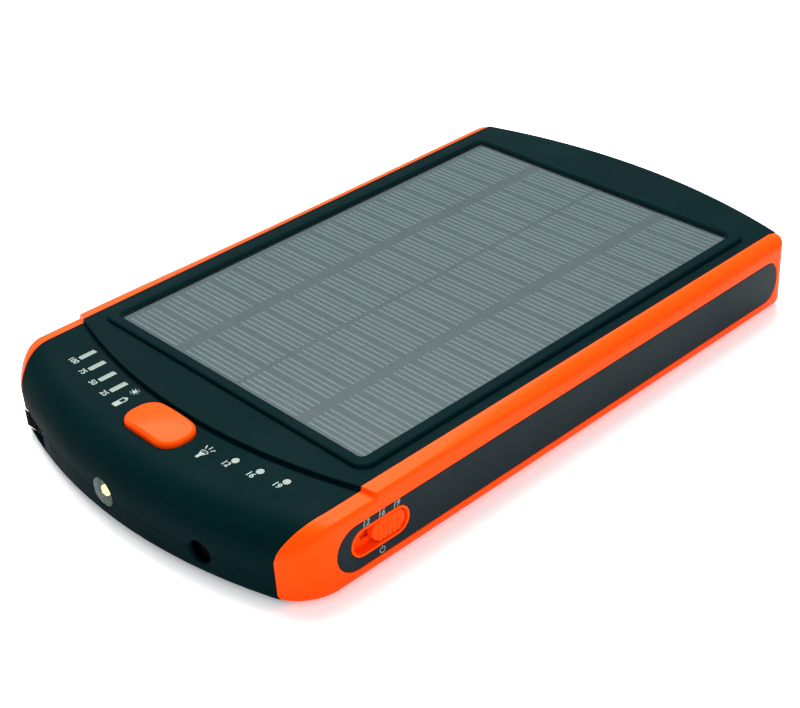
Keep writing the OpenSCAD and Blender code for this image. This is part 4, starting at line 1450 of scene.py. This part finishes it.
CARRIED = {
    "soft_black": ("push_switch_body", "slide_switch_lever", "dc_housing", "battery_socket", "usb_tongue"),
    "white": ("push_switch_plunger", "battery_plug"),
    "bright": ("usb_shell", "slide_switch_body"),
    "steel": ("case_screws", "board_screws"),
    "mirror": ("torch_reflector",),
    "gold": ("usb_contacts", "dc_spring_contact", "dc_centre_pin", "torch_leads"),
    "board": ("main_board", "protection_board"),
    "backing": ("panel_board",),
    "tape": ("panel_tape", "cell_tape"),
    "foam": ("foam_pads",),
    "lead": ("panel_leads", "battery_leads"),
    "lamp": ("indicator_lamps",),
    "film": ("panel_sheet",),
    "ferrite": ("power_inductors", "controller_chips"),
    "sleeve": ("filter_capacitors",),
    "pouch": ("battery_cells",),
}


def carried_materials():
    return {
        "soft_black": plastic("black_plastic", (0.012, 0.013, 0.014), 0.42),
        "white": plastic("white_plastic", (0.72, 0.71, 0.68), 0.4),
        "bright": metal("bright_metal", (0.62, 0.63, 0.64), 0.24, (1, 12, 1)),
        "steel": metal("dark_steel", (0.16, 0.165, 0.17), 0.35),
        # Torch reflector: its mirror colour is darkened, a painted shade for the dark inside of the lamp.
        "mirror": metal("mirror_metal", (0.16, 0.2, 0.2), 0.3),
        "gold": metal("gold_contact", (0.83, 0.6, 0.22), 0.22),
        "board": plastic("circuit_board", (0.012, 0.07, 0.035), 0.38, 1500),
        "backing": plastic("panel_backing", (0.036, 0.056, 0.062), 0.4, 1500),
        "tape": plastic("tape", (0.6, 0.55, 0.38), 0.5),
        "foam": plastic("foam", (0.05, 0.05, 0.055), 0.9, 700),
        "lead": plastic("lead_insulation", (0.55, 0.02, 0.015), 0.4),
        "lamp": plastic("indicator_lamp", (0.75, 0.72, 0.6), 0.35),
        "film": clear_film(),
        "ferrite": plastic("ferrite", (0.03, 0.03, 0.032), 0.6, 1200),
        "sleeve": plastic("capacitor_sleeve", (0.02, 0.03, 0.07), 0.3),
        "pouch": metal("pouch_foil", (0.66, 0.67, 0.7), 0.34),
    }


def dress_frame_nodes():
    """Gives every node that stays its finish, and breaks its sharp edges."""
    materials = carried_materials()
    for key, nodes in CARRIED.items():
        for node in nodes:
            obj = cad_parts[node]
            obj.data.materials.clear()
            obj.data.materials.append(materials[key])
            edges = obj.modifiers.new("edges", "BEVEL")
            edges.width = 0.08 * MM
            edges.segments = 2
            edges.limit_method = "ANGLE"
            edges.angle_limit = math.radians(50)
            edges.harden_normals = False


# ---- stage, light and camera ----
def build_stage():
    size = 1.6
    skin = Skin()
    edge = size / MM / 2
    loop = [(-edge, -edge), (edge, -edge), (edge, edge), (-edge, edge)]
    skin.fill([loop], lambda x, y: (x, y, 0.0))
    floor = finish_mesh(skin.bm((0, 0, 1)), "floor")
    floor.data.materials.append(floor_finish())


def area_light(name, place, target, size, power, colour=(1, 1, 1)):
    light = bpy.data.lights.new(name, "AREA")
    light.shape = "RECTANGLE"
    light.size = size[0]
    light.size_y = size[1]
    light.energy = power
    light.color = colour
    obj = bpy.data.objects.new(name, light)
    bpy.context.scene.collection.objects.link(obj)
    obj.location = place
    obj.rotation_euler = (Vector(target) - Vector(place)).to_track_quat("-Z", "Y").to_euler()


def build_lights():
    area_light("key", (-0.9, 0.6, 1.7), (0, 0, 0), (1.5, 1.5), 90.0, (1.0, 0.97, 0.9))
    area_light("side", (1.5, 0.1, 0.6), (0.03, 0, 0.01), (0.9, 0.9), 4.0)
    world = bpy.data.worlds.new("studio")
    world.use_nodes = True
    background = world.node_tree.nodes["Background"]
    background.inputs["Color"].default_value = (0.96, 0.98, 1.0, 1)
    background.inputs["Strength"].default_value = 0.7
    bpy.context.scene.world = world


def build_camera():
    """Camera at the viewing angle, aimed a little off the middle of the body."""
    azimuth = math.radians(48.05)
    elevation = math.radians(32.64)
    roll = math.radians(-3.61)
    target = Vector((8.8, -11.8, 11.0)) * MM
    distance = 430.5 * MM
    level = math.cos(elevation)
    ahead = Vector((-math.sin(azimuth) * level, math.cos(azimuth) * level, -math.sin(elevation)))
    level_right = Vector((math.cos(azimuth), math.sin(azimuth), 0))
    level_up = level_right.cross(ahead)
    right = level_right * math.cos(roll) + level_up * math.sin(roll)
    up = level_up * math.cos(roll) - level_right * math.sin(roll)
    camera = bpy.data.objects.new("camera", bpy.data.cameras.new("camera"))
    bpy.context.scene.collection.objects.link(camera)
    camera.data.sensor_width = 36
    camera.data.lens = 72.3
    camera.data.clip_start = 0.01
    basis = Matrix((right, up, -ahead)).transposed().to_4x4()
    camera.matrix_world = Matrix.Translation(target - ahead * distance) @ basis
    bpy.context.scene.camera = camera


def build_object():
    black = soft_touch()
    gloss_orange = orange("orange_gloss", 0.24, 0.32)
    satin_orange = orange("orange_satin", 0.34, 0.44)
    inlay = inlay_finish()
    ink = print_finish()
    build_top_cover(black)
    build_bottom_cover(black)
    build_side_frame(1, "side_frame_right_band", "side_frame_right", gloss_orange)
    build_side_frame(-1, "side_frame_left_band", "side_frame_left", gloss_orange)
    build_inlay(1, "side_inlay_right_plate", "side_inlay_right", inlay, True)
    build_inlay(-1, "side_inlay_left_plate", "side_inlay_left", inlay, False)
    build_tray(gloss_orange)
    build_knob(satin_orange)
    build_button(gloss_orange)
    build_lens(clear_moulding())
    build_chip(chip_finish())
    build_pipes(pipe_finish())
    build_feet(plastic("foot_rubber", (0.02, 0.02, 0.021), 0.75, 1800))
    build_cells(cell_finish(), finger_finish())
    build_marks(ink)
    dress_frame_nodes()


build_object()
build_stage()
build_lights()
build_camera()
bpy.context.scene.view_settings.view_transform = "Standard"
